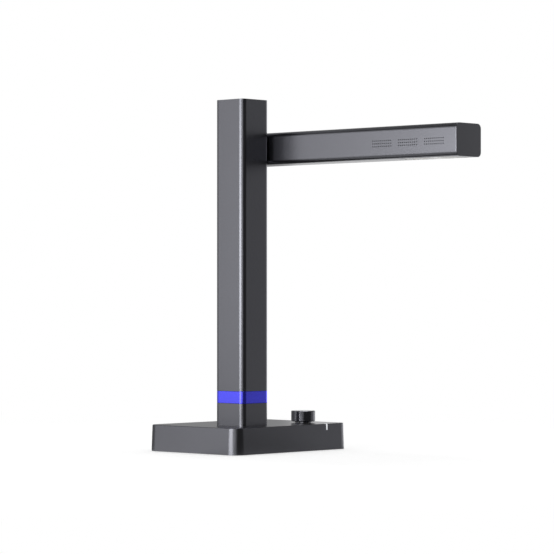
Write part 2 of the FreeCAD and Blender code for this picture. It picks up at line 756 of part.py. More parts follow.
def make_column_cap():
    """A lid that lies flush in the tube's top, with a cross-shaped skirt between the screw ports."""
    cap = body("column_cap", *COLUMN, f"{COLUMN_TOP} - Sizes.column_cap")
    wide = "(Sizes.column_width - 2 * Sizes.column_wall - 2 * Sizes.fit_gap)"
    narrow = f"(2 * {PORT} - Sizes.port_diameter - 4 * Sizes.fit_gap)"
    pad(cap, rounded(sketch(cap), wide, wide,
                     "Sizes.column_corner - Sizes.column_wall - Sizes.fit_gap"), "Sizes.column_cap")
    for width, depth in ((wide, narrow), (narrow, wide)):
        pad(cap, rounded(sketch(cap), width, depth, "1"), "Sizes.cap_skirt", back=True)
    inner = "2 * Sizes.skirt_wall"
    for width, depth in ((wide, narrow), (narrow, wide)):
        hollow = sketch(cap, level="-Sizes.cap_skirt")
        pocket(cap, rounded(hollow, f"{width} - {inner}", f"{depth} - {inner}", "1"), "Sizes.cap_skirt",
               back=True)
    return node(cap, "column_cap")


# Friction hinge, from the column's wall inwards: boss, washer, stop plate, disc springs and nut
BRACKET_SCREWS = corners("Sizes.bracket_screw_pitch / 2", "Sizes.bracket_screw_span / 2")
BOSS_END = f"({WALL_INNER} - Sizes.bracket_thickness - Sizes.bracket_boss_length)"
WASHER_X = f"({BOSS_END} - Sizes.friction_washer_thickness)"
STOP_X = f"({WASHER_X} - Sizes.axial_gap - Sizes.stop_plate_thickness)"
SPRING_STEP = "(Sizes.disc_spring_thickness + Sizes.disc_spring_rise)"
NUT_X = f"({STOP_X} - Sizes.disc_spring_count * {SPRING_STEP} - Sizes.hinge_nut_height)"
FLANGE = "(Sizes.arm_height - 2 * Sizes.arm_corner - Sizes.flange_margin)"
FLANGE_CIRCLE = f"(({FLANGE} + Sizes.shaft_diameter) / 4)"
FLANGE_SCREWS = corners(f"{FLANGE_CIRCLE} * cos(45)", f"{FLANGE_CIRCLE} * sin(45)")


def make_hinge_bracket():
    """The bearing block screwed to the inside of the column's wall, and its stop pin."""
    bracket = body("hinge_bracket", WALL_INNER, "Sizes.column_y", PIVOT)
    pad(bracket, rounded(sketch(bracket, "YZ"), "Sizes.bracket_width", "Sizes.bracket_height", "3"),
        "Sizes.bracket_thickness", back=True)
    pad(bracket, circles(sketch(bracket, "YZ"), "Sizes.bracket_boss"),
        "Sizes.bracket_thickness + Sizes.bracket_boss_length", back=True)
    pocket(bracket, circles(sketch(bracket, "YZ"), SHAFT_HOLE))
    pocket(bracket, circles(sketch(bracket, "YZ"), SCREW_HOLE, BRACKET_SCREWS),
           "Sizes.bracket_thickness")
    seat = sketch(bracket, "YZ", level="-Sizes.bracket_thickness - Sizes.bracket_boss_length")
    pocket(bracket, circles(seat, "Sizes.stop_pin_diameter", [("0", "Sizes.stop_pin_circle")]),
           "Sizes.stop_pin_seat", back=True)
    node(bracket, "hinge_bracket")
    length = ("Sizes.stop_pin_seat + Sizes.friction_washer_thickness + Sizes.axial_gap"
              " + Sizes.stop_plate_thickness - Sizes.axial_gap")
    node(rod("stop_pin", "Sizes.stop_pin_diameter", length, f"{BOSS_END} + Sizes.stop_pin_seat",
             "Sizes.column_y", f"{PIVOT} + Sizes.stop_pin_circle", "-x"), "hinge_stop_pin")
    group("bracket_screws", [
        flat_screw(f"bracket_screw_{i}", "Sizes.column_wall + Sizes.bracket_thickness", COLUMN_SIDE,
                   f"Sizes.column_y + {y}", f"{PIVOT} + {z}", "-x")
        for i, (y, z) in enumerate(BRACKET_SCREWS)])


def make_washer(label, outer, thickness, x):
    """A flat ring round the hinge shaft, from x towards the arm."""
    washer = body(label, x, "Sizes.column_y", PIVOT)
    face = circles(sketch(washer, "YZ"), outer)
    pad(washer, circles(face, SHAFT_HOLE), thickness)
    return node(washer, label)


def make_stop_plate():
    """The keyed plate that turns with the shaft; its curved slot meets the pin at both ends."""
    twice = "2 * Sizes.stop_plate_thickness"
    start = f"{STOP_X} - Sizes.stop_plate_thickness / 2"
    disc = rod("stop_disc", "Sizes.stop_plate_diameter", "Sizes.stop_plate_thickness", STOP_X,
               "Sizes.column_y", PIVOT, "x")
    round_bore = rod("stop_bore", SHAFT_HOLE, twice, start, "Sizes.column_y", PIVOT, "x")
    flats = block("stop_flats", "4 * Sizes.stop_plate_thickness",
                  "Sizes.shaft_across_flats + 2 * Sizes.running_gap", "2 * Sizes.shaft_diameter",
                  STOP_X, "Sizes.column_y", f"{PIVOT} - Sizes.shaft_diameter")
    keyhole = doc.addObject("Part::Common", "stop_keyhole")
    keyhole.Base, keyhole.Tool = round_bore, flats
    # the slot sweeps from straight above the axis towards +Y by the angle of the fold
    wide = "(Sizes.stop_pin_diameter + 2 * Sizes.stop_slack)"
    far = f"{STOP_X} + 1.5 * Sizes.stop_plate_thickness"
    sector = add("Part::Cylinder", "stop_sector", Radius=f"Sizes.stop_pin_circle + {wide} / 2",
                 Height=twice, Angle="Sizes.fold_angle")
    place(sector, far, "Sizes.column_y", PIVOT, "-x")
    core = rod("stop_core", f"2 * Sizes.stop_pin_circle - {wide}", "2 * " + twice,
               f"{STOP_X} - 2 * Sizes.stop_plate_thickness", "Sizes.column_y", PIVOT, "x")
    ends = [rod(f"stop_end_{i}", wide, twice, start,
                f"Sizes.column_y + Sizes.stop_pin_circle * sin({turn})",
                f"{PIVOT} + Sizes.stop_pin_circle * cos({turn})", "x")
            for i, turn in enumerate(("0", "Sizes.fold_angle"))]
    slot = fuse("stop_slot", cut("stop_arc", sector, core), *ends)
    return node(cut("hinge_stop_plate", disc, slot, keyhole), "hinge_stop_plate")


def make_disc_springs():
    """Coned disc springs, stacked alternately, that press the hinge together."""
    springs = []
    bore, edge = "Sizes.shaft_diameter / 2 + Sizes.running_gap", "Sizes.disc_spring_diameter / 2"
    for i in range(int(size("Sizes.disc_spring_count"))):
        spring = body(f"disc_spring_{i}", f"{STOP_X} - {i} * {SPRING_STEP}", "Sizes.column_y", PIVOT,
                      "-x")
        rise = ("Sizes.disc_spring_rise", "0")
        inner, outer = rise[i % 2], rise[(i + 1) % 2]
        cone = outline(sketch(spring, "XZ"), [
            (bore, inner), (edge, outer), (edge, f"{outer} + Sizes.disc_spring_thickness"),
            (bore, f"{inner} + Sizes.disc_spring_thickness")])
        revolve(spring, cone)
        springs.append(spring)
    return group("disc_springs", springs)


def make_hinge_nut():
    nut = hexagon("hinge_hexagon", "Sizes.hinge_nut_width", "Sizes.hinge_nut_height", NUT_X,
                  "Sizes.column_y", PIVOT, "x")
    bore = rod("hinge_nut_bore", SHAFT_HOLE, "2 * Sizes.hinge_nut_height",
               f"{NUT_X} - Sizes.hinge_nut_height / 2", "Sizes.column_y", PIVOT, "x")
    return node(cut("hinge_nut", nut, bore), "hinge_nut")


def make_hinge_shaft():
    """A hollow turned shaft with two flats; its flange is screwed to the inside of the arm's wall."""
    start = f"({ARM_NEAR} + Sizes.arm_wall)"
    length = f"({start} - {NUT_X} + Sizes.hinge_shaft_over)"
    shaft = body("hinge_shaft", start, "Sizes.column_y", PIVOT)
    pad(shaft, circles(sketch(shaft, "YZ"), FLANGE), "Sizes.flange_thickness")
    pad(shaft, circles(sketch(shaft, "YZ"), "Sizes.shaft_diameter"), length, back=True)
    pocket(shaft, circles(sketch(shaft, "YZ", level="Sizes.flange_thickness"), "Sizes.shaft_bore"))
    taps = circles(sketch(shaft, "YZ"), SCREW_HOLE, FLANGE_SCREWS)
    pocket(shaft, taps, "Sizes.flange_thickness", back=True)
    round_part = f"({start} - {WASHER_X} + Sizes.axial_gap / 2)"
    keyed = sketch(shaft, "YZ", level=f"-{round_part}")
    for side in ("", "-"):
        rectangle(keyed, "Sizes.shaft_diameter", "2 * Sizes.shaft_diameter",
                  f"{side}(Sizes.shaft_across_flats + Sizes.shaft_diameter) / 2", "0")
    pocket(shaft, keyed, length)
    node(shaft, "hinge_shaft")
    group("flange_screws", [
        flat_screw(f"flange_screw_{i}", "Sizes.arm_wall + Sizes.flange_thickness", ARM_NEAR,
                   f"Sizes.column_y + {y}", f"{PIVOT} + {z}", "x")
        for i, (y, z) in enumerate(FLANGE_SCREWS)])


# Arm: an extruded housing with lids at both ends
BEZEL_LENGTH = ("(Sizes.rear_diffuser_length + Sizes.window_length + Sizes.front_diffuser_length"
                " + 4 * Sizes.bezel_web)")
BEZEL_CENTRE = "((Sizes.rear_diffuser_length - Sizes.front_diffuser_length) / 2)"


def make_arm_housing():
    """A rounded box section with board rails, the bezel's opening and three fields of vents."""
    shell = body("arm_housing", ARM_X, "Sizes.column_y", PIVOT)
    tail = "Sizes.arm_tail - Sizes.arm_cap"
    outside = rounded(sketch(shell, "XZ", level=tail), "Sizes.arm_width", "Sizes.arm_height",
                      "Sizes.arm_corner")
    pad(shell, outside, "Sizes.arm_reach + Sizes.arm_tail - 2 * Sizes.arm_cap")
    pocket(shell, rounded(sketch(shell, "XZ", level=tail), ARM_INSIDE, ARM_CLEAR,
                          "Sizes.arm_corner - Sizes.arm_wall"), back=True)
    # two pairs of ribs that the long circuit board slides between, milled off round the hinge
    ribs = sketch(shell, "XZ", up="Sizes.rail_height", level="-Sizes.rail_relief")
    step = "Sizes.rib_thickness + Sizes.board_thickness + 2 * Sizes.fit_gap"
    for side in ("", "-"):
        for base in ("0", step):
            rectangle(ribs, "Sizes.rib_depth + 0.5", "Sizes.rib_thickness",
                      f"{side}({ARM_INSIDE} / 2 - Sizes.rib_depth / 2 + 0.25)",
                      f"{base} + Sizes.rib_thickness / 2")
    pad(shell, ribs, "Sizes.arm_reach - Sizes.rail_relief - Sizes.arm_cap - Sizes.arm_cap_skirt - 1")
    opening = sketch(shell, up=f"-Sizes.arm_reach + Sizes.camera_from_tip + {BEZEL_CENTRE}",
                     level="-Sizes.arm_height / 2")
    pocket(shell, rounded(opening, "Sizes.bezel_width", BEZEL_LENGTH, "Sizes.bezel_corner"),
           "Sizes.arm_wall", back=True)
    near = "-Sizes.arm_width / 2"
    bore = circles(sketch(shell, "YZ", level=near), SHAFT_HOLE)
    pocket(shell, bore, "Sizes.arm_wall", back=True)
    screws = circles(sketch(shell, "YZ", level=near), SCREW_HOLE, FLANGE_SCREWS)
    countersink(shell, screws, "Sizes.arm_wall", back=True)
    # each field of vents is one eight-sided hole, repeated along the arm and up the wall
    along = "(Sizes.vent_columns - 1) * Sizes.vent_pitch"
    upward = "(Sizes.vent_rows - 1) * Sizes.vent_row_pitch"
    for field in range(int(size("Sizes.vent_groups"))):
        first_y = (f"-Sizes.arm_reach + Sizes.vent_from_tip + {field} * Sizes.vent_group_pitch"
                   f" - {along} / 2")
        first_z = f"-Sizes.vent_drop - {upward} / 2"
        radius = "Sizes.vent_diameter / 2 / cos(22.5)"
        spot = outline(sketch(shell, "YZ", level=near), [
            (f"{first_y} + {radius} * cos({turn})", f"{first_z} + {radius} * sin({turn})")
            for turn in (22.5 + 45 * i for i in range(8))])
        vent = pocket(shell, spot, "Sizes.arm_wall", back=True)
        rows = shell.newObject("PartDesign::LinearPattern", f"vent_field_{field}")
        rows.Originals = [vent]
        rows.Direction = (spot, ["H_Axis"])
        rows.setExpression("Length", along)
        rows.setExpression("Occurrences", "Sizes.vent_columns")
        rows.Direction2 = (spot, ["V_Axis"])
        rows.setExpression("Length2", upward)
        rows.setExpression("Occurrences2", "Sizes.vent_rows")
        shell.Tip = rows
        doc.recompute()
    return node(shell, "arm_housing")


def make_arm_lid(label, y, back):
    """A flat end plate of the arm's outline with a thin skirt that slips inside the housing."""
    lid = body(label, ARM_X, y, PIVOT)
    plate = rounded(sketch(lid, "XZ"), "Sizes.arm_width", "Sizes.arm_height", "Sizes.arm_corner")
    pad(lid, plate, "Sizes.arm_cap", back=back)
    dress("Fillet", lid, rim(lid, 0, "Y"), "Radius", "Sizes.arm_cap_edge")
    loose = "2 * Sizes.fit_gap"
    thin = "2 * (Sizes.fit_gap + Sizes.skirt_wall)"
    corner = "Sizes.arm_corner - Sizes.arm_wall - Sizes.fit_gap"
    skirt = sketch(lid, "XZ", level="Sizes.arm_cap" if back else "-Sizes.arm_cap")
    rounded(skirt, f"{ARM_INSIDE} - {loose}", f"{ARM_CLEAR} - {loose}", corner)
    rounded(skirt, f"{ARM_INSIDE} - {thin}", f"{ARM_CLEAR} - {thin}", f"{corner} - Sizes.skirt_wall")
    pad(lid, skirt, "Sizes.arm_cap_skirt", back=back)
    return node(lid, label)


def make_vent_screen():
    """A strip of dust screen behind the vents."""
    span = ("(Sizes.vent_groups - 1) * Sizes.vent_group_pitch"
            " + (Sizes.vent_columns + 1) * Sizes.vent_pitch")
    middle = f"{TIP} + Sizes.vent_from_tip + (Sizes.vent_groups - 1) / 2 * Sizes.vent_group_pitch"
    strip = block("vent_strip", "Sizes.screen_thickness", span, "Sizes.screen_height",
                  f"{ARM_NEAR} + Sizes.arm_wall + Sizes.screen_thickness / 2", middle,
                  f"{PIVOT} - Sizes.vent_drop - Sizes.screen_height / 2")
    return node(strip, "vent_screen")


# Camera end of the arm, from the bezel upwards; y is measured from the camera's axis
BEZEL_Z = f"({PIVOT} - Sizes.arm_height / 2)"
LIP_Z = "(Sizes.arm_wall + Sizes.bezel_flange)"
LIGHT_BOARD = f"({LIP_Z} + Sizes.pane_lip_height + Sizes.light_board_rise)"
FRONT_LIGHT = "(-(Sizes.window_length + Sizes.front_diffuser_length) / 2 - Sizes.bezel_web)"
REAR_LIGHT = "((Sizes.window_length + Sizes.rear_diffuser_length) / 2 + Sizes.bezel_web)"
PANES = {
    "front_diffuser": (FRONT_LIGHT, "Sizes.diffuser_width", "Sizes.front_diffuser_length"),
    "camera_window": ("0", "Sizes.window_width", "Sizes.window_length"),
    "rear_diffuser": (REAR_LIGHT, "Sizes.diffuser_width", "Sizes.rear_diffuser_length"),
}
LIGHTS = {
    "front": (FRONT_LIGHT, "Sizes.front_diffuser_length"),
    "rear": (REAR_LIGHT, "Sizes.rear_diffuser_length"),
}
CAMERA_POSTS = corners("Sizes.post_x", "Sizes.camera_post_y")


def make_camera_bezel():
    """The frame let into the arm's underside: three openings, a flange inside and pinned posts."""
    bezel = body("camera_bezel", ARM_X, CAMERA_Y, BEZEL_Z)
    plate = rounded(sketch(bezel, up=BEZEL_CENTRE), "Sizes.bezel_width - 2 * Sizes.fit_gap",
                    f"{BEZEL_LENGTH} - 2 * Sizes.fit_gap", "Sizes.bezel_corner")
    pad(bezel, plate, "Sizes.arm_wall")
    flange = rounded(sketch(bezel, up=BEZEL_CENTRE, level="Sizes.arm_wall"),
                     "Sizes.bezel_width + 2 * Sizes.bezel_lip",
                     f"{BEZEL_LENGTH} + 2 * Sizes.bezel_lip", "Sizes.bezel_corner")
    pad(bezel, flange, "Sizes.bezel_flange")
    for y, width, length in PANES.values():
        pocket(bezel, rounded(sketch(bezel, up=y), width, length, "Sizes.pane_corner"), back=True)
    posts = [(CAMERA_POSTS, "Sizes.camera_board_height")]
    posts += [([("Sizes.post_x", y), ("-Sizes.post_x", y)], LIGHT_BOARD) for y, _ in LIGHTS.values()]
    for centres, height in posts:
        stand = circles(sketch(bezel, level="Sizes.arm_wall"), "Sizes.post_diameter", centres)
        pad(bezel, stand, f"{height} - Sizes.arm_wall")
        pins = circles(sketch(bezel, level="Sizes.arm_wall"), "Sizes.pin_diameter", centres)
        pad(bezel, pins, f"{height} - Sizes.arm_wall + Sizes.small_board_thickness + Sizes.pin_over")
    return node(bezel, "camera_bezel")


def make_panes():
    """Two diffusers and the camera's window, flush below, each resting on the flange by a lip."""
    for label, (y, width, length) in PANES.items():
        pane = body(label, ARM_X, f"{CAMERA_Y} + {y}", BEZEL_Z)
        pad(pane, rounded(sketch(pane), f"{width} - 2 * Sizes.pane_gap", f"{length} - 2 * Sizes.pane_gap",
                          "Sizes.pane_corner - Sizes.pane_gap"), LIP_Z)
        lip = rounded(sketch(pane, level=LIP_Z), f"{width} - 2 * Sizes.pane_gap",
                      f"{length} + 2 * Sizes.pane_lip", "Sizes.pane_corner")
        pad(pane, lip, "Sizes.pane_lip_height")
        node(pane, label)


def make_lights():
    """Two small boards of white lamps that face down through the diffusers."""
    level = f"({BEZEL_Z} + {LIGHT_BOARD})"
    lamps = []
    for name, (y, length) in LIGHTS.items():
        slab(f"{name}_light_board", "Sizes.light_board_width",
             f"{length} - 2 * Sizes.light_board_inset", "Sizes.small_board_thickness",
             "Sizes.pane_corner", ARM_X, f"{CAMERA_Y} + {y}", level,
             [("Sizes.post_x", "0"), ("-Sizes.post_x", "0")])
        lamps += [block(f"{name}_lamp_{i}", "Sizes.lamp_width", "Sizes.lamp_depth",
                        "Sizes.lamp_height", f"{ARM_X} + {i} * Sizes.lamp_pitch",
                        f"{CAMERA_Y} + {y}", f"{level} - Sizes.lamp_height") for i in (-1, 0, 1)]
    group("light_lamps", lamps)


def make_camera():
    """Camera board, sensor, lens holder, barrel and front glass, all on the optical axis."""
    board_z = f"({BEZEL_Z} + Sizes.camera_board_height)"
    slab("camera_board", "Sizes.camera_board_width", "Sizes.camera_board_depth",
         "Sizes.small_board_thickness", "Sizes.pane_corner", ARM_X, CAMERA_Y, board_z, CAMERA_POSTS)
    node(block("sensor_block", "Sizes.sensor_width", "Sizes.sensor_width", "Sizes.sensor_height",
               ARM_X, CAMERA_Y, f"{board_z} - Sizes.sensor_height"), "image_sensor")
    bore = "(Sizes.lens_diameter + 2 * Sizes.screw_slack)"
    outer = f"({bore} + 2 * Sizes.holder_wall)"
    holder = body("lens_holder", ARM_X, CAMERA_Y, board_z, "-z")
    pad(holder, rounded(sketch(holder), f"{outer} + Sizes.holder_wall", f"{outer} + Sizes.holder_wall",
                        "Sizes.holder_wall"), "Sizes.holder_foot")
    pad(holder, circles(sketch(holder), outer), "Sizes.holder_length")
    pocket(holder, circles(sketch(holder), bore), back=True)
    node(holder, "lens_holder")
    barrel = body("lens_barrel", ARM_X, CAMERA_Y, f"{board_z} - Sizes.lens_setback", "-z")
    eye, side = "Sizes.lens_glass_diameter / 2", "Sizes.lens_diameter / 2"
    wide, narrow = f"{side} + Sizes.lens_rim", f"{eye} * 0.6"
    seat = "Sizes.lens_length - Sizes.lens_glass_setback"
    neck = "Sizes.holder_length - Sizes.lens_setback"
    revolve(barrel, outline(sketch(barrel, "XZ"), [
        (narrow, "0"), (side, "0"), (side, neck), (wide, neck),
        (wide, "Sizes.lens_length - Sizes.lens_rim / 2"),
        (f"{wide} - Sizes.lens_rim / 2", "Sizes.lens_length"), (eye, "Sizes.lens_length"),
        (eye, seat), (narrow, f"{seat} - Sizes.lens_rim")]))
    node(barrel, "lens_barrel")
    glass = body("lens_glass", ARM_X, CAMERA_Y, f"{board_z} - Sizes.lens_setback - ({seat})", "-z")
    lens = sketch(glass, "XZ")
    pane = f"({eye} - Sizes.screw_slack)"
    revolve(glass, outline(lens, [("0", "0"), (pane, "0"), (pane, "Sizes.lens_glass_thickness / 2"),
                                  (f"{pane} / 2", "Sizes.lens_glass_thickness * 0.9"),
                                  ("0", "Sizes.lens_glass_thickness")]))
    node(glass, "lens_glass")


def make_arm_board():
    """The long circuit board on its rails, with the image processor and connectors below it."""
    start = "(Sizes.column_y - Sizes.rail_relief - 2)"
    level = f"({PIVOT} + Sizes.rail_height + Sizes.rib_thickness)"
    slab("arm_board", f"{ARM_INSIDE} - 2 * Sizes.fit_gap", "Sizes.arm_board_length",
         "Sizes.board_thickness", "1", ARM_X, f"{start} - Sizes.arm_board_length / 2", level)
    under, high = f"{level} - Sizes.chip_height", "2 * Sizes.chip_height"
    group("arm_board_parts", [
        block("image_processor", "14", "14", "Sizes.chip_height", ARM_X, f"{start} - 110", under),
        block("memory_chip", "9", "12", "Sizes.chip_height", ARM_X, f"{start} - 88", under),
        block("light_driver", "5", "6", "Sizes.chip_height", f"{ARM_X} + 8", f"{start} - 134", under),
        block("arm_connector", "14", "5", high, ARM_X, f"{start} - 6", f"{level} - {high}")])


# Knob, the control under it and the status light in front of it
def make_control():
    """The rotary control on the board, its bush through the roof, its washer and nut."""
    control = body("dimmer_control", *KNOB, BOARD_TOP)
    top = (f"({TOP} + Sizes.washer_thickness + Sizes.control_nut_height + Sizes.control_bush_over"
           f" - {BOARD_TOP})")
    pad(control, rounded(sketch(control), "Sizes.control_width", "Sizes.control_width", "1"),
        "Sizes.control_height")
    pad(control, circles(sketch(control), "Sizes.control_bush"), top)
    bore = circles(sketch(control, level="Sizes.control_floor"),
                   "Sizes.control_shaft + 2 * Sizes.running_gap")
    pocket(control, bore, top, back=True)
    node(control, "dimmer_control")
    hole = "Sizes.control_bush + 2 * Sizes.screw_slack"
    washer = body("dimmer_washer", *KNOB, TOP)
    face = circles(sketch(washer), "Sizes.control_nut_width * 1.2")
    pad(washer, circles(face, hole), "Sizes.washer_thickness")
    node(washer, "dimmer_washer")
    level = f"{TOP} + Sizes.washer_thickness"
    nut = hexagon("dimmer_hexagon", "Sizes.control_nut_width", "Sizes.control_nut_height", *KNOB, level)
    bore = rod("dimmer_nut_bore", hole, "2 * Sizes.control_nut_height", *KNOB,
               f"{level} - Sizes.control_nut_height / 2")
    node(cut("dimmer_nut", nut, bore), "dimmer_nut")


def make_knob():
    """The turned knob, a wide cap on a short neck that is hollow over the nut, and its keyed shaft."""
    foot = f"({TOP} + Sizes.knob_lift)"
    neck, edge, hollow = "Sizes.knob_neck / 2", "Sizes.knob_diameter / 2", "Sizes.knob_hollow / 2"
    step = "(Sizes.knob_gap - Sizes.knob_lift)"
    top = "(Sizes.knob_rise - Sizes.knob_lift)"
    bore = "(Sizes.control_shaft / 2 + Sizes.screw_slack)"
    deep = f"({top} - Sizes.knob_top_wall)"
    knob = body("control_knob", *KNOB, foot)
    revolve(knob, outline(sketch(knob, "XZ"), [
        (hollow, "0"), (neck, "0"), (neck, step), (f"{edge} - Sizes.knob_lower_edge", step),
        (edge, f"{step} + Sizes.knob_lower_edge"), (edge, f"{top} - Sizes.knob_edge"),
        (f"{edge} - Sizes.knob_edge", top), ("0", top), ("0", deep), (bore, deep),
        (bore, "Sizes.knob_hollow_depth"), (hollow, "Sizes.knob_hollow_depth")]))
    # the key in the bore that turns the shaft by its flat
    key = sketch(knob, level="Sizes.knob_hollow_depth")
    flat = "(Sizes.control_flat - Sizes.control_shaft / 2)"
    thick = f"({bore} - {flat})"
    rectangle(key, f"2 * {bore}", thick, "0", f"{flat} + Sizes.screw_slack + {thick} / 2")
    pad(knob, key, f"{deep} - Sizes.knob_hollow_depth + Sizes.knob_edge")
    node(knob, "control_knob")
    start = f"({BOARD_TOP} + Sizes.control_floor + Sizes.control_rest)"
    reach = f"({foot} + {deep} - Sizes.knob_lift - {start})"
    shaft = body("dimmer_shaft", *KNOB, start)
    pad(shaft, circles(sketch(shaft), "Sizes.control_shaft"), reach)
    side = sketch(shaft, level=f"{foot} + Sizes.knob_hollow_depth - Sizes.knob_edge - {start}")
    rectangle(side, "2 * Sizes.control_shaft", "Sizes.control_shaft", "0",
              f"{flat} + Sizes.control_shaft / 2")
    pocket(shaft, side, reach, back=True)
    node(shaft, "dimmer_shaft")


def make_status_light():
    """A clear guide that follows the front wall's lean and leads to a small lamp on the board."""
    low = f"({TOP} - Sizes.status_height)"
    front = f"(-Sizes.base_depth / 2 + ({low} - Sizes.rim_lift) * {DRAFT})"
    back = f"({FRONT_TOP} + Sizes.status_depth - Sizes.screw_slack)"
    tip = f"({BOARD_EDGE} - Sizes.status_lamp_gap)"
    foot = f"({BOARD_TOP} + Sizes.status_lamp_gap)"
    guide = body("status_light", "Sizes.knob_x")
    profile = outline(sketch(guide, "YZ"), [
        (front, low), (FRONT_TOP, TOP), (back, TOP), (back, f"{low} + 1"),
        (tip, f"{foot} + Sizes.status_foot"), (tip, foot), (f"{tip} - Sizes.status_foot", foot),
        (f"{back} - 0.6", low)])
    pad(guide, profile, "Sizes.status_width", middle=True)
    corner = [name for name in rim(guide, size(TOP))
              if abs(guide.Tip.Shape.getElement(name).BoundBox.YMax - size(FRONT_TOP)) < 1e-3]
    dress("Fillet", guide, corner, "Radius", "Sizes.base_edge")
    node(guide, "status_light")
    lamp = block("status_lamp_block", "Sizes.status_width", "1.6", "Sizes.chip_height",
                 "Sizes.knob_x", f"{BOARD_EDGE} + 0.8", BOARD_TOP)
    node(lamp, "status_lamp")


make_base_housing()
make_base_cover()
slab("desk_mat", "Sizes.mat_width", "Sizes.mat_depth", "Sizes.mat_thickness", "Sizes.mat_corner")
make_ballast()
make_base_board()
make_socket()
make_column_foot()
node(column_profile("column_sleeve", TOP, "Sizes.ring_rise", "Sizes.column_wall"), "column_sleeve")
make_light_ring()
make_column_tube()
make_column_cap()
make_hinge_bracket()
make_washer("friction_washer", "Sizes.friction_washer_diameter", "Sizes.friction_washer_thickness",
            WASHER_X)
make_washer("hinge_washer", "Sizes.hinge_washer_diameter", "Sizes.arm_gap - Sizes.side_gap",
            f"{COLUMN_SIDE} + Sizes.side_gap")
make_stop_plate()
make_disc_springs()
make_hinge_nut()
make_hinge_shaft()
make_arm_housing()
make_arm_lid("arm_end_cap", TIP, back=True)
make_arm_lid("arm_rear_cap", "Sizes.column_y + Sizes.arm_tail", back=False)
make_vent_screen()
make_camera_bezel()
make_panes()
make_lights()
make_camera()
make_arm_board()
make_control()
make_knob()
make_status_light()
doc.recompute()

# Every object must be sound before anything is written
for thing in doc.Objects:
    if {"Invalid", "Error"} & set(thing.State):
        raise ValueError(f"{thing.Name} failed: {thing.State}")
for piece in nodes:
    if piece.Shape.isNull() or not piece.Shape.isValid():
        raise ValueError(f"{piece.Label} has no sound shape")
for piece in nodes:
    piece.Shape.exportStep(f"parts/{piece.Label}.step")
    print(piece.Label, len(piece.Shape.Solids), "solids", round(piece.Shape.Volume), "mm3")
print(len(nodes), "pieces")
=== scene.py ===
# %% [markdown]
# # An overhead book scanner, dressed for its photograph
#
# The construction model already holds every piece of the scanner at its real size, in metres. This
# script loads it as a fixed frame and gives it what construction leaves out: finishes, screws with
# threads, a grooved mat, light and a camera. Each step says what a piece or finish is on the real
# scanner, how it could be made, and why this way was chosen.

# %% Load the frame
import math

import bmesh
import bpy
from mathutils import Matrix, Vector


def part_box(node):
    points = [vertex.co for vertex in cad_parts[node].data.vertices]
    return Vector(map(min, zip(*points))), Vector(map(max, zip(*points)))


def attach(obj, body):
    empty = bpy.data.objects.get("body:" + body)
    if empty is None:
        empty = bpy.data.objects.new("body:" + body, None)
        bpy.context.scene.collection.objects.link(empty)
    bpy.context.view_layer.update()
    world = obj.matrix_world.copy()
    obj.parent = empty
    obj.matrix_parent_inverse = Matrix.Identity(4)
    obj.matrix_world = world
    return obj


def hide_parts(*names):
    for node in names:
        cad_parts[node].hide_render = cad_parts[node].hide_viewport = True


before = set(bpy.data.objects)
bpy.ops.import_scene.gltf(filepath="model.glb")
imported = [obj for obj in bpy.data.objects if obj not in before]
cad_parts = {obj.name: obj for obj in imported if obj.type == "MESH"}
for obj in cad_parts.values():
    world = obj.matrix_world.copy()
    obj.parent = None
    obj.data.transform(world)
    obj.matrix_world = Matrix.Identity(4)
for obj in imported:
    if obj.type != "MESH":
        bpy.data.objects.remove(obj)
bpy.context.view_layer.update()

# %% [markdown]
# ## Camera
#
# The photograph was taken from the left and slightly in front, level with the middle of the column,
# with a long lens: its upright edges stay upright. A camera could be aimed by a constraint, but a
# fixed turn is simpler and gives the same picture each time.

# %% Camera
CAMERA_PLACE = (-2.0132, -1.8905, 0.16175)
CAMERA_YAW = 47.4251
CAMERA_PITCH = 0.4374
LENS = 169.76

camera_data = bpy.data.cameras.new("camera")
camera_data.lens = LENS
camera_data.sensor_width = 36
camera = bpy.data.objects.new("camera", camera_data)
camera.location = CAMERA_PLACE
camera.rotation_euler = (math.radians(90 + CAMERA_PITCH), 0, math.radians(-CAMERA_YAW))
bpy.context.scene.collection.objects.link(camera)
bpy.context.scene.camera = camera
bpy.context.scene.view_settings.view_transform = "Standard"
print("camera lens", LENS, "mm")

# %% [markdown]
# ## Studio
#
# The scanner stands on a white table in a white room. A large softbox at its left gives the long
# highlights, a narrow one beside the camera gives the knob its second stripe, and one hangs above.
# Metal shows mostly what it mirrors, so a real studio sets dark and grey cards round it and keeps
# the ceiling dark, and these give the corners of the column their deep tones beside the highlights.
# The cards could be part of one painted backdrop, but separate sheets that only gloss can see are
# easy to move, and leave the plain light alone.

# %% Helpers for the studio
def link(name, mesh):
    """A new object for a mesh, at the origin."""
    thing = bpy.data.objects.new(name, mesh)
    bpy.context.scene.collection.objects.link(thing)
    return thing


def empty_tree(owner):
    """The empty node tree of a material or a world, and its output node."""
    owner.use_nodes = True
    tree = owner.node_tree
    tree.nodes.clear()
    kind = "World" if isinstance(owner, bpy.types.World) else "Material"
    return tree, tree.nodes.new(f"ShaderNodeOutput{kind}")


def seen_rays(tree):
    """A value of one for rays that show the background: to the camera, and by gloss or glass."""
    path = tree.nodes.new("ShaderNodeLightPath")
    total = path.outputs["Is Camera Ray"]
    for ray in ("Is Glossy Ray", "Is Transmission Ray"):
        both = tree.nodes.new("ShaderNodeMath")
        both.operation = "MAXIMUM"
        tree.links.new(total, both.inputs[0])
        tree.links.new(path.outputs[ray], both.inputs[1])
        total = both.outputs[0]
    return total


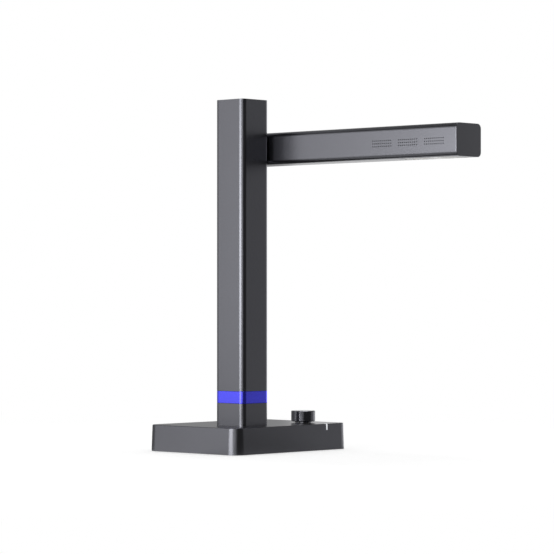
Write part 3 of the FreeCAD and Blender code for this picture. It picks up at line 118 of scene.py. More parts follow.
def fade(tree, value, low, high, start, end):
    """A number that goes smoothly from start to end while a value goes from low to high."""
    span = tree.nodes.new("ShaderNodeMapRange")
    span.interpolation_type = "SMOOTHSTEP"
    tree.links.new(value, span.inputs["Value"])
    limits = {"From Min": low, "From Max": high, "To Min": start, "To Max": end}
    for socket, number in limits.items():
        span.inputs[socket].default_value = number
    return span.outputs[0]


# %% World
ROOM_LEVEL = 0.4
CEILING_LEVEL = 0.05
# The heights between which the walls darken to the ceiling: level is 0, and straight up is 1
CEILING_START, CEILING_END = 0.2325, 0.4325

world = bpy.data.worlds.new("studio")
bpy.context.scene.world = world
tree, output = empty_tree(world)
room = tree.nodes.new("ShaderNodeBackground")
room.inputs["Strength"].default_value = ROOM_LEVEL
walls = tree.nodes.new("ShaderNodeBackground")
way = tree.nodes.new("ShaderNodeTexCoord")
parts = tree.nodes.new("ShaderNodeSeparateXYZ")
tree.links.new(way.outputs["Generated"], parts.inputs[0])
tree.links.new(fade(tree, parts.outputs["Z"], CEILING_START, CEILING_END, 1, CEILING_LEVEL),
               walls.inputs["Strength"])
mix = tree.nodes.new("ShaderNodeMixShader")
tree.links.new(seen_rays(tree), mix.inputs[0])
tree.links.new(room.outputs[0], mix.inputs[1])
tree.links.new(walls.outputs[0], mix.inputs[2])
tree.links.new(mix.outputs[0], output.inputs[0])
for node in (room, walls):
    node.inputs["Color"].default_value = (1, 1, 1, 1)
print("room level", ROOM_LEVEL)

# %% Table
TABLE_REACH = 6.0
TABLE_GREY = 0.8
# Where it is seen, the table glows a little, so that paper without shadow shows as white
TABLE_LIFT = 0.52
# The distances between which it fades to plain white
TABLE_NEAR, TABLE_FAR = 0.35, 0.9

paper = bmesh.new()
bmesh.ops.create_grid(paper, x_segments=1, y_segments=1, size=TABLE_REACH)
mesh = bpy.data.meshes.new("table_top")
paper.to_mesh(mesh)
table_top = link("table_top", mesh)

white_paper = bpy.data.materials.new("white_paper")
tree, output = empty_tree(white_paper)
plain = tree.nodes.new("ShaderNodeBsdfDiffuse")
plain.inputs["Color"].default_value = (TABLE_GREY, TABLE_GREY, TABLE_GREY, 1)
white = tree.nodes.new("ShaderNodeEmission")
lift = tree.nodes.new("ShaderNodeEmission")
lift.inputs["Strength"].default_value = TABLE_LIFT
place = tree.nodes.new("ShaderNodeTexCoord")
distance = tree.nodes.new("ShaderNodeVectorMath")
distance.operation = "LENGTH"
tree.links.new(place.outputs["Object"], distance.inputs[0])
far = fade(tree, distance.outputs["Value"], TABLE_NEAR, TABLE_FAR, 0, 1)
lifted = tree.nodes.new("ShaderNodeAddShader")
tree.links.new(plain.outputs[0], lifted.inputs[0])
tree.links.new(lift.outputs[0], lifted.inputs[1])
shown = tree.nodes.new("ShaderNodeMixShader")
tree.links.new(far, shown.inputs[0])
tree.links.new(lifted.outputs[0], shown.inputs[1])
tree.links.new(white.outputs[0], shown.inputs[2])
mix = tree.nodes.new("ShaderNodeMixShader")
tree.links.new(seen_rays(tree), mix.inputs[0])
tree.links.new(plain.outputs[0], mix.inputs[1])
tree.links.new(shown.outputs[0], mix.inputs[2])
tree.links.new(mix.outputs[0], output.inputs[0])
mesh.materials.append(white_paper)
print("table fades to white from", TABLE_NEAR, "to", TABLE_FAR, "m")

# %% Softboxes
AIM = (0, -0.1, 0.2)
SOFTBOX_TALL = 0.507


def softbox(name, turn, distance, lift, width, height, level):
    """A rectangle of light that faces the scanner.

    Turn is in degrees from +X. Level is how bright its face looks, with white as 1."""
    turn = math.radians(turn)
    place = (distance * math.cos(turn), distance * math.sin(turn), lift)
    data = bpy.data.lights.new(name, "AREA")
    data.shape = "RECTANGLE"
    data.size, data.size_y = width, height
    data.energy = level * width * height * math.pi
    lamp = bpy.data.objects.new(name, data)
    lamp.location = place
    lamp.rotation_euler = (Vector(place) - Vector(AIM)).to_track_quat("Z", "Y").to_euler()
    lamp.visible_camera = False
    bpy.context.scene.collection.objects.link(lamp)


# Name, turn, distance, lift, width, height and level
softbox("left_softbox", 171.7, 1.825, SOFTBOX_TALL / 2, 1.34, SOFTBOX_TALL, 4.76)
softbox("strip_softbox", 204.0, 1.925, SOFTBOX_TALL / 2, 0.2, SOFTBOX_TALL, 1.63)
softbox("top_softbox", -26.6, 0.224, 1.8, 1.0, 1.0, 2.5)
print("softboxes", [lamp.name for lamp in bpy.data.lights])

# %% Cards
CARD_LIFT, CARD_TOP, CARD_STEPS = 0.0004, 1.5, 14


def card(name, start, end, level, *line):
    """A sheet whose line of radius and height is spun round the scanner.

    Start and end are turns in degrees from +X. Only gloss sees it, at a level with white as 1."""
    sheet = bmesh.new()
    line = [sheet.verts.new((radius, 0, height)) for radius, height in line]
    edges = [sheet.edges.new(ends) for ends in zip(line, line[1:])]
    bmesh.ops.rotate(sheet, verts=line, cent=(0, 0, 0),
                     matrix=Matrix.Rotation(math.radians(start), 3, "Z"))
    bmesh.ops.spin(sheet, geom=line + edges, cent=(0, 0, 0), axis=(0, 0, 1),
                   angle=math.radians(end - start), steps=CARD_STEPS)
    mesh = bpy.data.meshes.new(name)
    sheet.to_mesh(mesh)
    thing = link(name, mesh)
    for kind in ("camera", "diffuse", "shadow", "transmission", "volume_scatter"):
        setattr(thing, f"visible_{kind}", False)
    felt = bpy.data.materials.new(name)
    tree, output = empty_tree(felt)
    glow = tree.nodes.new("ShaderNodeEmission")
    glow.inputs["Strength"].default_value = level
    tree.links.new(glow.outputs[0], output.inputs[0])
    mesh.materials.append(felt)


# Turns in degrees at which the cards behind, at the left, in front and at the right begin or end
BACK_WALL_START, BACK_TABLE_START, BACK_END = 39, 40.2, 131.5
LEFT_END, FRONT_WALL_START = 185, 227.6
DARK_END, GREY_END = 304.5, 331.1

# Radii in metres, from the base's nearest edge outwards
INNER, FRONT_INNER, LEFT_INNER = 0.066, 0.12, 0.308
BACK_FAR, FRONT_FAR = 0.8, 0.95


def wall_card(name, start, end, level, radius):
    """An upright card."""
    card(name, start, end, level, (radius, CARD_LIFT), (radius, CARD_TOP))


def table_card(name, start, end, level, inner, outer):
    """A card that lies on the table."""
    card(name, start, end, level, (inner, CARD_LIFT), (outer, CARD_LIFT))


wall_card("front_dark_wall_card", FRONT_WALL_START, DARK_END, 0.067, FRONT_FAR)
table_card("front_dark_table_card", LEFT_END, DARK_END, 0.057, FRONT_INNER, FRONT_FAR)
table_card("front_near_card", LEFT_END, GREY_END, 0.3, INNER, FRONT_INNER)
wall_card("front_grey_wall_card", DARK_END, GREY_END, 0.315, FRONT_FAR)
table_card("front_grey_table_card", DARK_END, GREY_END, 0.4, FRONT_INNER, FRONT_FAR)
wall_card("back_wall_card", BACK_WALL_START, BACK_END, 0.44, BACK_FAR)
table_card("back_table_card", BACK_TABLE_START, BACK_END, 0.05, INNER, BACK_FAR)
table_card("left_table_card", BACK_END, LEFT_END, 0.45, LEFT_INNER, BACK_FAR)
table_card("left_near_card", BACK_END, LEFT_END, 0.7, INNER, LEFT_INNER)

# %% [markdown]
# ## How a finish is made
#
# Every finish starts as one shader with its plain values: colour, metal or not, and how rough it
# is. Nodes then vary those values over the surface, at the size at which the real finish varies. A
# class keeps that short: it holds the shader, reads the object's coordinates in metres, and each of
# its methods adds one thing that a maker would name, such as grain, streaks or a printed area.

# %% A finish and its nodes
class Finish:
    """A material that starts with plain values, and ways to vary them over the surface.

    Even holds the values of any other sockets that are the same all over."""

    def __init__(self, name, colour, metallic, roughness, even=None):
        self.material = bpy.data.materials.new(name)
        self.material.use_nodes = True
        self.tree = self.material.node_tree
        self.shader = self.tree.nodes["Principled BSDF"]
        self.tone, self.dullness, self.metal, self.relief = (*colour, 1), roughness, metallic, None
        plain = {"Base Color": self.tone, "Metallic": metallic, "Roughness": roughness}
        for socket, value in {**plain, **(even or {})}.items():
            self.shader.inputs[socket].default_value = value
        self.place = self.node("TexCoord", {}, "Object")
        self.x, self.y, self.z = (self.node("SeparateXYZ", {0: self.place}, axis) for axis in "XYZ")

    def node(self, kind, inputs, result=0, **fields):
        """Adds a node, gives its inputs numbers or links, and returns one of its outputs."""
        made = self.tree.nodes.new(f"ShaderNode{kind}")
        for field, value in fields.items():
            setattr(made, field, value)
        for socket, value in inputs.items():
            if isinstance(value, bpy.types.NodeSocket):
                self.tree.links.new(value, made.inputs[socket])
            else:
                made.inputs[socket].default_value = value
        return made.outputs[result]

    def math(self, operation, *values):
        return self.node("Math", dict(enumerate(values)), operation=operation)

    def span(self, value, low, high, start=0.0, end=1.0):
        """Start where a value is at or under low, end where it is at or over high."""
        return self.node("MapRange", {"Value": value, "From Min": low, "From Max": high,
                                      "To Min": start, "To Max": end})

    def both(self, *shares):
        """One where every share is one."""
        total = shares[0]
        for share in shares[1:]:
            total = self.math("MULTIPLY", total, share)
        return total

    def band(self, value, low, high, soft):
        """One where a value lies between low and high, with soft edges."""
        return self.both(self.span(value, low - soft, low + soft),
                         self.span(value, high - soft, high + soft, 1.0, 0.0))

    def noise(self, size, stretch=(1, 1, 1), detail=3.0):
        """Soft grain of a size in metres, shorter along an axis that is stretched by more."""
        place = self.node("VectorMath", {0: self.place, 1: stretch}, operation="MULTIPLY")
        return self.node("TexNoise", {"Vector": place, "Scale": 1 / size, "Detail": detail})

    def cells(self, size, feature="F1", scatter=1.0):
        """Distance to the nearest of many points a size apart: on a grid at 0, scattered at 1."""
        inputs = {"Vector": self.place, "Scale": 1 / size, "Randomness": scatter}
        return self.node("TexVoronoi", inputs, "Distance", feature=feature)

    def ripple(self, value, pitch):
        """A wave from zero to one along a value in metres."""
        turns = self.math("MULTIPLY", value, 2 * math.pi / pitch)
        return self.math("MULTIPLY_ADD", self.math("SINE", turns), 0.5, 0.5)

    def off_axis(self, node, axis):
        """Distance from the line through a node's middle along an axis."""
        away = self.node("VectorMath", {0: self.place, 1: middle(node)}, operation="SUBTRACT")
        across = [float(letter != axis) for letter in "XYZ"]
        flat = self.node("VectorMath", {0: away, 1: across}, operation="MULTIPLY")
        return self.node("VectorMath", {0: flat}, "Value", operation="LENGTH")

    def paint(self, share, colour):
        """Lays another colour over the tone where a share is one."""
        self.tone = self.node("Mix", {0: share, 6: self.tone, 7: (*colour[:3], 1)}, 2,
                              data_type="RGBA")
        self.tree.links.new(self.tone, self.shader.inputs["Base Color"])

    def mottle(self, grain, spread):
        """Darkens and lightens the tone with a grain."""
        value = self.span(grain, 0.3, 0.7, 1 - spread, 1 + spread)
        grey = self.node("CombineColor", {"Red": value, "Green": value, "Blue": value})
        self.tone = self.node("Mix", {0: 1.0, 6: self.tone, 7: grey}, 2, data_type="RGBA",
                              blend_type="MULTIPLY")
        self.tree.links.new(self.tone, self.shader.inputs["Base Color"])

    def dull(self, share, roughness):
        """Takes the roughness to another value where a share is one."""
        self.dullness = self.span(share, 0.0, 1.0, self.dullness, roughness)
        self.tree.links.new(self.dullness, self.shader.inputs["Roughness"])

    def cloud(self, grain, spread):
        """Makes the gloss uneven with a grain."""
        self.dullness = self.math("ADD", self.dullness, self.span(grain, 0.3, 0.7, -spread, spread))
        self.tree.links.new(self.dullness, self.shader.inputs["Roughness"])

    def plate(self, share, metallic):
        """Makes the surface metal, or not, where a share is one."""
        self.metal = self.span(share, 0.0, 1.0, self.metal, metallic)
        self.tree.links.new(self.metal, self.shader.inputs["Metallic"])

    def emboss(self, height, depth):
        """Raises the surface by depth metres where a height is one."""
        inputs = {"Strength": 1.0, "Distance": depth, "Height": height}
        if self.relief is not None:
            inputs["Normal"] = self.relief
        self.relief = self.node("Bump", inputs)
        self.tree.links.new(self.relief, self.shader.inputs["Normal"])

    def vary(self, socket, value):
        """Links a value that changes over the surface to one of the shader's other sockets."""
        self.tree.links.new(value, self.shader.inputs[socket])


def middle(node):
    """The middle of a node's box."""
    low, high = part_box(node)
    return (Vector(low) + Vector(high)) / 2


def grained(name, colour, metallic, roughness, size, depth, tint=0.05, gloss=0.04,
            stretch=(1, 1, 1), even=None):
    """A finish whose colour, gloss and height all follow one grain.

    Size and depth of the grain are in metres. Tint and gloss say how far it takes the colour and
    the roughness."""
    finish = Finish(name, colour, metallic, roughness, even)
    grain = finish.noise(size, stretch)
    finish.mottle(grain, tint)
    finish.cloud(grain, gloss)
    finish.emboss(grain, depth)
    return finish


dressed = set()


def dress(finish, *names):
    """Gives a finish to nodes or new pieces."""
    for name in names:
        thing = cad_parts.get(name) or bpy.data.objects[name]
        thing.data.materials.clear()
        thing.data.materials.append(finish.material)
        dressed.add(name)
    print(finish.material.name, "on", *names)


# %% [markdown]
# ## Satin grey metal
#
# The column and the arm are aluminium extrusions, blasted with fine beads and anodised grey, and
# the base is coated to match. Blasting leaves a grain of a few tenths of a millimetre, and under it
# the lines of the extrusion still run along the length. One noise gives the grain, a wide one gives
# the faint patches of the bath, and one that is pulled out along the extrusion gives the lines. The
# colour could come from a picture, but the real one is even, so only its gloss and a little of its
# tone change.

# %% Satin grey metal
GREY = (0.1635, 0.165, 0.1834)
GREY_ROUGHNESS = 0.28
BEAD, LINE, PATCH = 0.0004, 0.0003, 0.03


def satin(name, along):
    """Blasted and anodised metal, with extrusion lines along an axis, or none."""
    finish = grained(name, GREY, 1.0, GREY_ROUGHNESS, BEAD, 5e-7, tint=0.015, gloss=0.005)
    finish.mottle(finish.noise(PATCH, detail=1.0), 0.008)
    if along:
        stretch = [0.01 if axis == along else 1.0 for axis in "XYZ"]
        finish.cloud(finish.noise(LINE, stretch, 1.0), 0.002)
    return finish


column_metal = satin("column_metal", "Z")
dress(column_metal, "column_tube", "column_sleeve")
base_coat = satin("base_coat", "")
base_coat.emboss(base_coat.cells(0.0007), 1e-6)
dress(base_coat, "base_housing")

# %% [markdown]
# ## The arm and its vents
#
# Small round holes in the arm's side let warm air out. They are real holes in the construction
# model, and their walls are painted near black and dull: painted shade inside the holes, which
# makes them look darker than the anodised face. A separate material slot would need the mesh's
# faces picked one by one. Instead the finish finds the holes' walls by place: they are the only
# metal between the outer and the inner face of the wall there.

# %% Arm metal with painted shade in its vents
ARM_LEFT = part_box("arm_housing")[0][0]
WALL_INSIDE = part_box("vent_screen")[0][0]
VENT_LOW, VENT_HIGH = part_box("vent_screen")[0][2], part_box("vent_screen")[1][2]
RIM = 0.00012

arm_metal = satin("arm_metal", "Y")
bore_shade = arm_metal.both(arm_metal.band(arm_metal.x, ARM_LEFT + RIM, WALL_INSIDE, 0.0001),
                       arm_metal.band(arm_metal.z, VENT_LOW, VENT_HIGH, 0.0002))
# Painted shade: the walls of the holes are painted near black
arm_metal.paint(bore_shade, (0.006, 0.006, 0.007))
arm_metal.dull(bore_shade, 0.7)
dress(arm_metal, "arm_housing")
print("arm wall", round((WALL_INSIDE - ARM_LEFT) * 1000, 2), "mm")

# %% [markdown]
# ## Moulded caps
#
# The caps at the arm's ends and on the column are moulded and coated grey. Their grey is a lighter
# copy of the metal's: painted light, which brightens the arm's end face. A mould cut by sparks
# gives them a grain that is coarser and duller than the blasted metal. Cells scattered under the
# noise give its small flat pits.

# %% Moulded caps
# Painted light: the caps' colour is a lighter copy of the metal's grey
cap_grey = grained("cap_grey", (0.222, 0.224, 0.246), 1.0, 0.29, 0.0005, 2e-6, tint=0.03,
                   gloss=0.015)
cap_grey.emboss(cap_grey.cells(0.0006), 2e-6)
dress(cap_grey, "arm_end_cap", "arm_rear_cap", "column_cap")

# %% [markdown]
# ## Turned knob
#
# The knob is turned on a lathe and polished further than the rest, so it mirrors the column as a
# dark stripe. The tool leaves fine rings round the axis on its top and on its side. A wave of the
# distance from the axis plus the height follows both at once.

# %% Turned finishes
def turned(name, colour, metallic, roughness, node, axis, pitch, depth, tint=0.04):
    """A finish with the rings that a lathe tool leaves round a node's axis."""
    finish = grained(name, colour, metallic, roughness, 0.0008, 1e-6, tint=tint, gloss=0.02)
    along = {"X": finish.x, "Y": finish.y, "Z": finish.z}[axis]
    rings = finish.ripple(finish.math("ADD", finish.off_axis(node, axis), along), pitch)
    finish.emboss(rings, depth)
    finish.cloud(rings, 0.01)
    return finish


dress(turned("knob_metal", GREY, 1.0, 0.2, "control_knob", "Z", 0.00035, 3e-7), "control_knob")

# %% [markdown]
# ## Lit ring
#
# The ring near the column's foot is a dyed, satin band with small blue lamps behind it. Its dye
# lets only blue through, and the lamps add a low glow that is stronger at half height. The glow
# comes from the shader's emission, because real lamps behind a real wall would be noisy and slow to
# trace.

# %% Lit ring
ring_low, ring_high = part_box("light_ring")[0][2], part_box("light_ring")[1][2]
ring_middle = (ring_low + ring_high) / 2

ring_blue = grained("ring_blue", (0.12, 0.121, 0.98), 1.0, 0.25, 0.0005, 3e-6, tint=0.02,
                    gloss=0.02, even={"Emission Color": (0.002, 0.006, 1, 1)})
off_middle = ring_blue.math("ABSOLUTE", ring_blue.math("SUBTRACT", ring_blue.z, ring_middle))
middle_glow = ring_blue.span(off_middle, 0.0, (ring_high - ring_low) / 2, 0.065, 0.045)
uneven = ring_blue.span(ring_blue.noise(0.012), 0.3, 0.7, 0.9, 1.1)
ring_blue.vary("Emission Strength", ring_blue.both(middle_glow, uneven))
dress(ring_blue, "light_ring")

# %% [markdown]
# ## Status light and lamps
#
# A clear guide in the base's front edge carries light up from a small white lamp. Its end glows, a
# little less towards the foot. The white and blue lamps on the boards are small ceramic bodies
# whose outer face is filled with phosphor or clear resin. All of a board's lamps end at one height,
# so the height alone tells that face from the body.

# %% Status light and lamps
GUIDE_FOOT, GUIDE_TOP = 0.016, 0.027
SKIN = 2e-5

status_glow = grained("status_glow", (0.5, 0.52, 0.56), 0.0, 0.25, 0.0012, 2e-6,
                      even={"Emission Color": (0.95, 0.97, 1, 1)})
status_glow.vary("Emission Strength", status_glow.both(
    status_glow.span(status_glow.z, GUIDE_FOOT, GUIDE_TOP, 0.35, 0.6),
    status_glow.span(status_glow.noise(0.002), 0.3, 0.7, 0.95, 1.05)))
dress(status_glow, "status_light")


def at_height(finish, height):
    """One on a flat face at a height, and zero away from it."""
    return finish.band(finish.z, height - SKIN, height + SKIN, SKIN / 10)


def lamp_finish(name, node, end, face, glow):
    """A ceramic lamp body, with phosphor on the face at its low end (0) or high end (1)."""
    finish = grained(name, (0.8, 0.8, 0.78), 0.0, 0.4, 0.0003, 3e-6,
                     even={"Emission Color": (*face, 1)})
    share = at_height(finish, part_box(node)[end][2])
    finish.paint(share, face)
    if glow:
        finish.vary("Emission Strength", finish.math("MULTIPLY", share, glow))
    dress(finish, node)


lamp_finish("blue_lamp", "ring_lamps", 1, (0.12, 0.16, 0.95), 0.6)
lamp_finish("white_lamp", "light_lamps", 0, (0.85, 0.72, 0.25), 0.0)
lamp_finish("pilot_lamp", "status_lamp", 1, (0.85, 0.78, 0.4), 0.5)

# %% [markdown]
# ## Steel and bronze parts
#
# The hinge and the control hold plain steel parts. Turned ones carry rings round their axis, the
# milled bracket carries the straight, slightly wavy marks of a cutter, and the drawn socket shell
# has lines along its length. The bronze washer is sintered: it is full of small open pores.

# %% Steel and bronze parts
STEEL = (0.52, 0.515, 0.5)

dress(turned("hinge_steel", STEEL, 1.0, 0.28, "hinge_nut", "X", 0.00022, 1.5e-6, tint=0.08),
      "hinge_nut", "hinge_washer", "hinge_stop_pin", "hinge_stop_plate", "hinge_shaft",
      "disc_springs")
dress(turned("control_steel", STEEL, 1.0, 0.25, "control_knob", "Z", 0.0002, 1.5e-6, tint=0.08),
      "dimmer_nut", "dimmer_washer", "dimmer_shaft")

CUTTER_STEP = 0.0008
milled_steel = grained("milled_steel", (0.42, 0.42, 0.41), 1.0, 0.34, 0.0006, 4e-6,
                       stretch=(1, 1, 0.1))
wander = milled_steel.span(milled_steel.noise(0.02), 0, 1, 0, 0.002)
cut = milled_steel.math("ADD", milled_steel.z, wander)
milled_steel.emboss(milled_steel.ripple(cut, CUTTER_STEP), 2e-6)
dress(milled_steel, "hinge_bracket")

drawn_steel = grained("drawn_steel", (0.6, 0.6, 0.59), 1.0, 0.27, 0.0004, 3e-6,
                      stretch=(1, 0.03, 1))
dress(drawn_steel, "socket_shell")

case_steel = grained("case_steel", (0.5, 0.5, 0.5), 1.0, 0.35, 0.0005, 3e-6, stretch=(0.05, 1, 1))
case_steel.mottle(case_steel.noise(0.004), 0.06)
dress(case_steel, "dimmer_control")

sintered_bronze = grained("sintered_bronze", (0.52, 0.33, 0.13), 1.0, 0.4, 0.0007, 5e-6, tint=0.12)
pores = sintered_bronze.span(sintered_bronze.cells(0.0005), 0.12, 0.28, 1.0, 0.0)
# Painted shade: the pores are painted dark brown where they are sunk into the surface
sintered_bronze.paint(pores, (0.08, 0.05, 0.02))
sintered_bronze.emboss(pores, -1e-5)
dress(sintered_bronze, "friction_washer")

# %% [markdown]
# ## Plates and ballast
#
# The steel bottom cover and the column's foot are powder coated black: the powder melts into a skin
# of soft bumps, like the peel of an orange. The ballast is a cast block, left rough, with darker
# and browner patches of oil and light rust.

# %% Plates and ballast
powder_coat = grained("powder_coat", (0.022, 0.022, 0.024), 0.0, 0.5, 0.0012, 1.2e-5, tint=0.12)
powder_coat.emboss(powder_coat.cells(0.0009, "SMOOTH_F1"), 2e-5)
dress(powder_coat, "base_cover", "column_foot")

cast_iron = grained("cast_iron", (0.23, 0.225, 0.22), 1.0, 0.55, 0.0012, 5e-5, tint=0.18,
                    gloss=0.08)
cast_iron.paint(cast_iron.span(cast_iron.noise(0.02), 0.5, 0.75, 0.0, 0.6), (0.16, 0.1, 0.06))
cast_iron.emboss(cast_iron.cells(0.003), 4e-5)
dress(cast_iron, "ballast_block")

# %% [markdown]
# ## Circuit boards and their parts
#
# A board is glass fibre with copper tracks under a thin coloured lacquer, so a track shows as a
# slightly raised, lighter line, and bare pads shine. Tracks run straight for a while and then
# change direction: large square cells choose between lines along one side of the board and lines
# along the other. Pads sit on a grid. The board's cut edge, all that lies between its two faces,
# shows the tan fibre.

# %% Circuit boards and their parts
BLOCK, TRACK_STEP, PAD_STEP = 0.009, 0.0012, 0.00254
PAD_GOLD, FIBRE_TAN = (0.75, 0.6, 0.3), (0.45, 0.38, 0.2)


def circuit(node, lacquer, track):
    """Lacquer over copper tracks, with bare round pads on a grid, for a board that lies flat."""
    finish = grained(f"{node}_lacquer", lacquer, 0.0, 0.32, 0.0005, 2e-6, even={"Coat Weight": 0.3})
    blocks = finish.node("TexVoronoi", {"Vector": finish.place, "Scale": 1 / BLOCK,
                                        "Randomness": 0.6}, "Color", distance="CHEBYCHEV")
    red, green, blue = (finish.node("SeparateColor", {0: blocks}, name)
                        for name in ("Red", "Green", "Blue"))

    # Red chooses a block's direction, green whether it has tracks, and blue whether it has pads
    lines = [finish.span(finish.ripple(side, TRACK_STEP), 0.62, 0.78)
             for side in (finish.x, finish.y)]
    pick = finish.span(red, 0.49, 0.51)
    tracks = finish.math("ADD", finish.both(lines[0], pick),
                         finish.both(lines[1], finish.math("SUBTRACT", 1.0, pick)))
    tracks = finish.both(tracks, finish.span(green, 0.3, 0.31))
    finish.paint(tracks, track)
    finish.emboss(tracks, 1.5e-5)

    pads = finish.span(finish.cells(PAD_STEP, scatter=0.0), 0.14, 0.18, 1.0, 0.0)
    pads = finish.both(pads, finish.span(blue, 0.6, 0.61))
    finish.paint(pads, PAD_GOLD)
    finish.plate(pads, 1.0)

    low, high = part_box(node)
    edge = finish.band(finish.z, low[2] + SKIN, high[2] - SKIN, SKIN / 2)
    finish.paint(edge, FIBRE_TAN)
    finish.dull(edge, 0.8)
    dress(finish, node)


for board in ("base_board", "arm_board", "camera_board"):
    circuit(board, (0.012, 0.1, 0.04), (0.03, 0.17, 0.07))
for board in ("ring_board", "front_light_board", "rear_light_board"):
    circuit(board, (0.8, 0.8, 0.78), (0.86, 0.86, 0.84))

chip_black = grained("chip_black", (0.02, 0.02, 0.021), 0.0, 0.5, 0.0003, 6e-6, tint=0.15)
chip_black.mottle(chip_black.noise(0.003), 0.1)
dress(chip_black, "base_board_parts", "arm_board_parts")

# The bare silicon in the image sensor's lower face, as half its width and half its height
DIE_X, DIE_Y = 0.003, 0.0023
DIE_EDGE = 1e-5
centre = middle("image_sensor")
sensor_chip = grained("sensor_chip", (0.05, 0.045, 0.04), 0.0, 0.5, 0.0004, 3e-6)
die = sensor_chip.both(
    sensor_chip.band(sensor_chip.x, centre.x - DIE_X, centre.x + DIE_X, DIE_EDGE),
    sensor_chip.band(sensor_chip.y, centre.y - DIE_Y, centre.y + DIE_Y, DIE_EDGE),
    at_height(sensor_chip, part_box("image_sensor")[0][2]))
sensor_chip.paint(die, (0.03, 0.07, 0.09))
sensor_chip.dull(die, 0.08)
dress(sensor_chip, "image_sensor")

# %% [markdown]
# ## Dark plastics, screen and lens
#
# The bezel and the lens parts are near black so that no stray light reaches the sensor. The screen
# behind the vents is woven. Modelled threads would be thousands of faces behind holes this small,
# so two waves that cross, multiplied with each other, give a bump wherever two threads meet. The
# camera window is clear glass with a black print round a clear circle, and the lens behind it has a
# coating that turns from violet to green towards its rim.

# %% Dark plastics, screen and lens
bezel_black = grained("bezel_black", (0.022, 0.022, 0.024), 0.0, 0.48, 0.0006, 1e-5, tint=0.1)
bezel_black.emboss(bezel_black.cells(0.0005), 5e-6)
dress(bezel_black, "camera_bezel")

CONTACT_STEP = 0.0005
tongue_black = grained("tongue_black", (0.015, 0.015, 0.016), 0.0, 0.4, 0.0004, 4e-6)
flats = [at_height(tongue_black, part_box("socket_tongue")[end][2]) for end in (0, 1)]
stripes = tongue_black.both(
    tongue_black.span(tongue_black.ripple(tongue_black.x, CONTACT_STEP), 0.5, 0.6),
    tongue_black.math("ADD", *flats))
tongue_black.paint(stripes, (0.85, 0.6, 0.25))
tongue_black.plate(stripes, 1.0)
dress(tongue_black, "socket_tongue")

THREAD = 0.0003
woven_screen = grained("woven_screen", (0.008, 0.008, 0.009), 0.0, 0.7, 0.0002, 4e-6)
over = woven_screen.ripple(woven_screen.y, THREAD)
under = woven_screen.ripple(woven_screen.z, THREAD)
weave = woven_screen.math("MULTIPLY", over, under)
woven_screen.emboss(weave, 6e-5)
# Painted shade between the thread crossings and a painted highlight on them: the weave also sets
# the tone
woven_screen.mottle(weave, 0.3)
dress(woven_screen, "vent_screen")

dress(turned("lens_black", (0.012, 0.012, 0.013), 0.0, 0.42, "lens_barrel", "Z", 0.0004, 2e-5),
      "lens_barrel", "lens_holder")

LENS_RADIUS = 0.0042
VIOLET, GREEN = (0.75, 0.3, 1, 1), (0.3, 0.95, 0.6, 1)
lens_coat = grained("lens_coat", (0.02, 0.02, 0.03), 0.0, 0.03, 0.002, 1e-7, tint=0.02, gloss=0.0,
                    even={"IOR": 1.6, "Coat Weight": 0.6, "Coat Roughness": 0.02})
rim = lens_coat.span(lens_coat.off_axis("lens_barrel", "Z"), 0.001, LENS_RADIUS)
tint = lens_coat.node("Mix", {0: rim, 6: VIOLET, 7: GREEN}, 2, data_type="RGBA")
lens_coat.vary("Specular Tint", tint)
dress(lens_coat, "lens_glass")

CLEAR_RADIUS, PRINT_EDGE = 0.0078, 0.00785
window_glass = grained("window_glass", (0.97, 0.98, 0.98), 0.0, 0.03, 0.002, 1e-7, tint=0.005,
                       gloss=0.0, even={"IOR": 1.5, "Transmission Weight": 1.0})
printed = window_glass.span(window_glass.off_axis("lens_barrel", "Z"), CLEAR_RADIUS, PRINT_EDGE)
window_glass.paint(printed, (0.008, 0.008, 0.009))
window_glass.vary("Transmission Weight", window_glass.span(printed, 0.0, 1.0, 1.0, 0.0))
window_glass.dull(printed, 0.12)
dress(window_glass, "camera_window")

# %% [markdown]
# ## Opal diffusers
#
# Two milky panes spread the lamps' light over the page. Their inner face is pressed with small
# round lenses about a millimetre apart, and the milky plastic lets light in a little way before it
# comes back. Cells without scatter give the lenses, and subsurface light gives the milk.

# %% Opal diffusers
LENS_STEP = 0.0011

opal = grained("opal", (0.82, 0.82, 0.79), 0.0, 0.35, 0.003, 2e-6, tint=0.02,
               even={"Subsurface Weight": 0.5, "Subsurface Radius": (1.0, 0.9, 0.8),
                     "Subsurface Scale": 0.001})
lenses = opal.cells(LENS_STEP, scatter=0.0)
opal.emboss(lenses, -6e-5)
opal.mottle(lenses, 0.03)
dress(opal, "front_diffuser", "rear_diffuser")

# %% [markdown]
# ## Grooved mat
#
# A rubber mat under the base keeps the scanner from sliding. Its underside has square studs with
# grooves between them, so that it grips and lets dust out of the way. A bump would look flat from
# below, so the studs are real: one grid, whose corners are rounded, is made a sheet, and each stud
# is a small bevelled block that is copied along rows.

# %% Grooved mat
STUD, STUD_STEP, GROOVE = 0.0032, 0.004, 0.0006
STUD_TALL = GROOVE + 0.0002
STUD_CORNER = 0.0005

# The mat's corner radius, and how far studs go into the corners and keep from the edges
CORNER, CORNER_STUDS, MARGIN = 0.008, 0.005, 0.004

low, high = (Vector(corner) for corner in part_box("desk_mat"))
block = bmesh.new()
bmesh.ops.create_cube(block, size=1)
bmesh.ops.scale(block, verts=block.verts, vec=(STUD, STUD, STUD_TALL))
bmesh.ops.translate(block, verts=block.verts, vec=(0, 0, STUD_TALL / 2))
upright = [edge for edge in block.edges if abs(edge.verts[0].co.z - edge.verts[1].co.z) > 1e-5]
bmesh.ops.bevel(block, geom=upright, affect="EDGES", offset=STUD_CORNER, segments=2, profile=0.5,
                material=-1)
stud = bpy.data.meshes.new("stud")
block.to_mesh(stud)

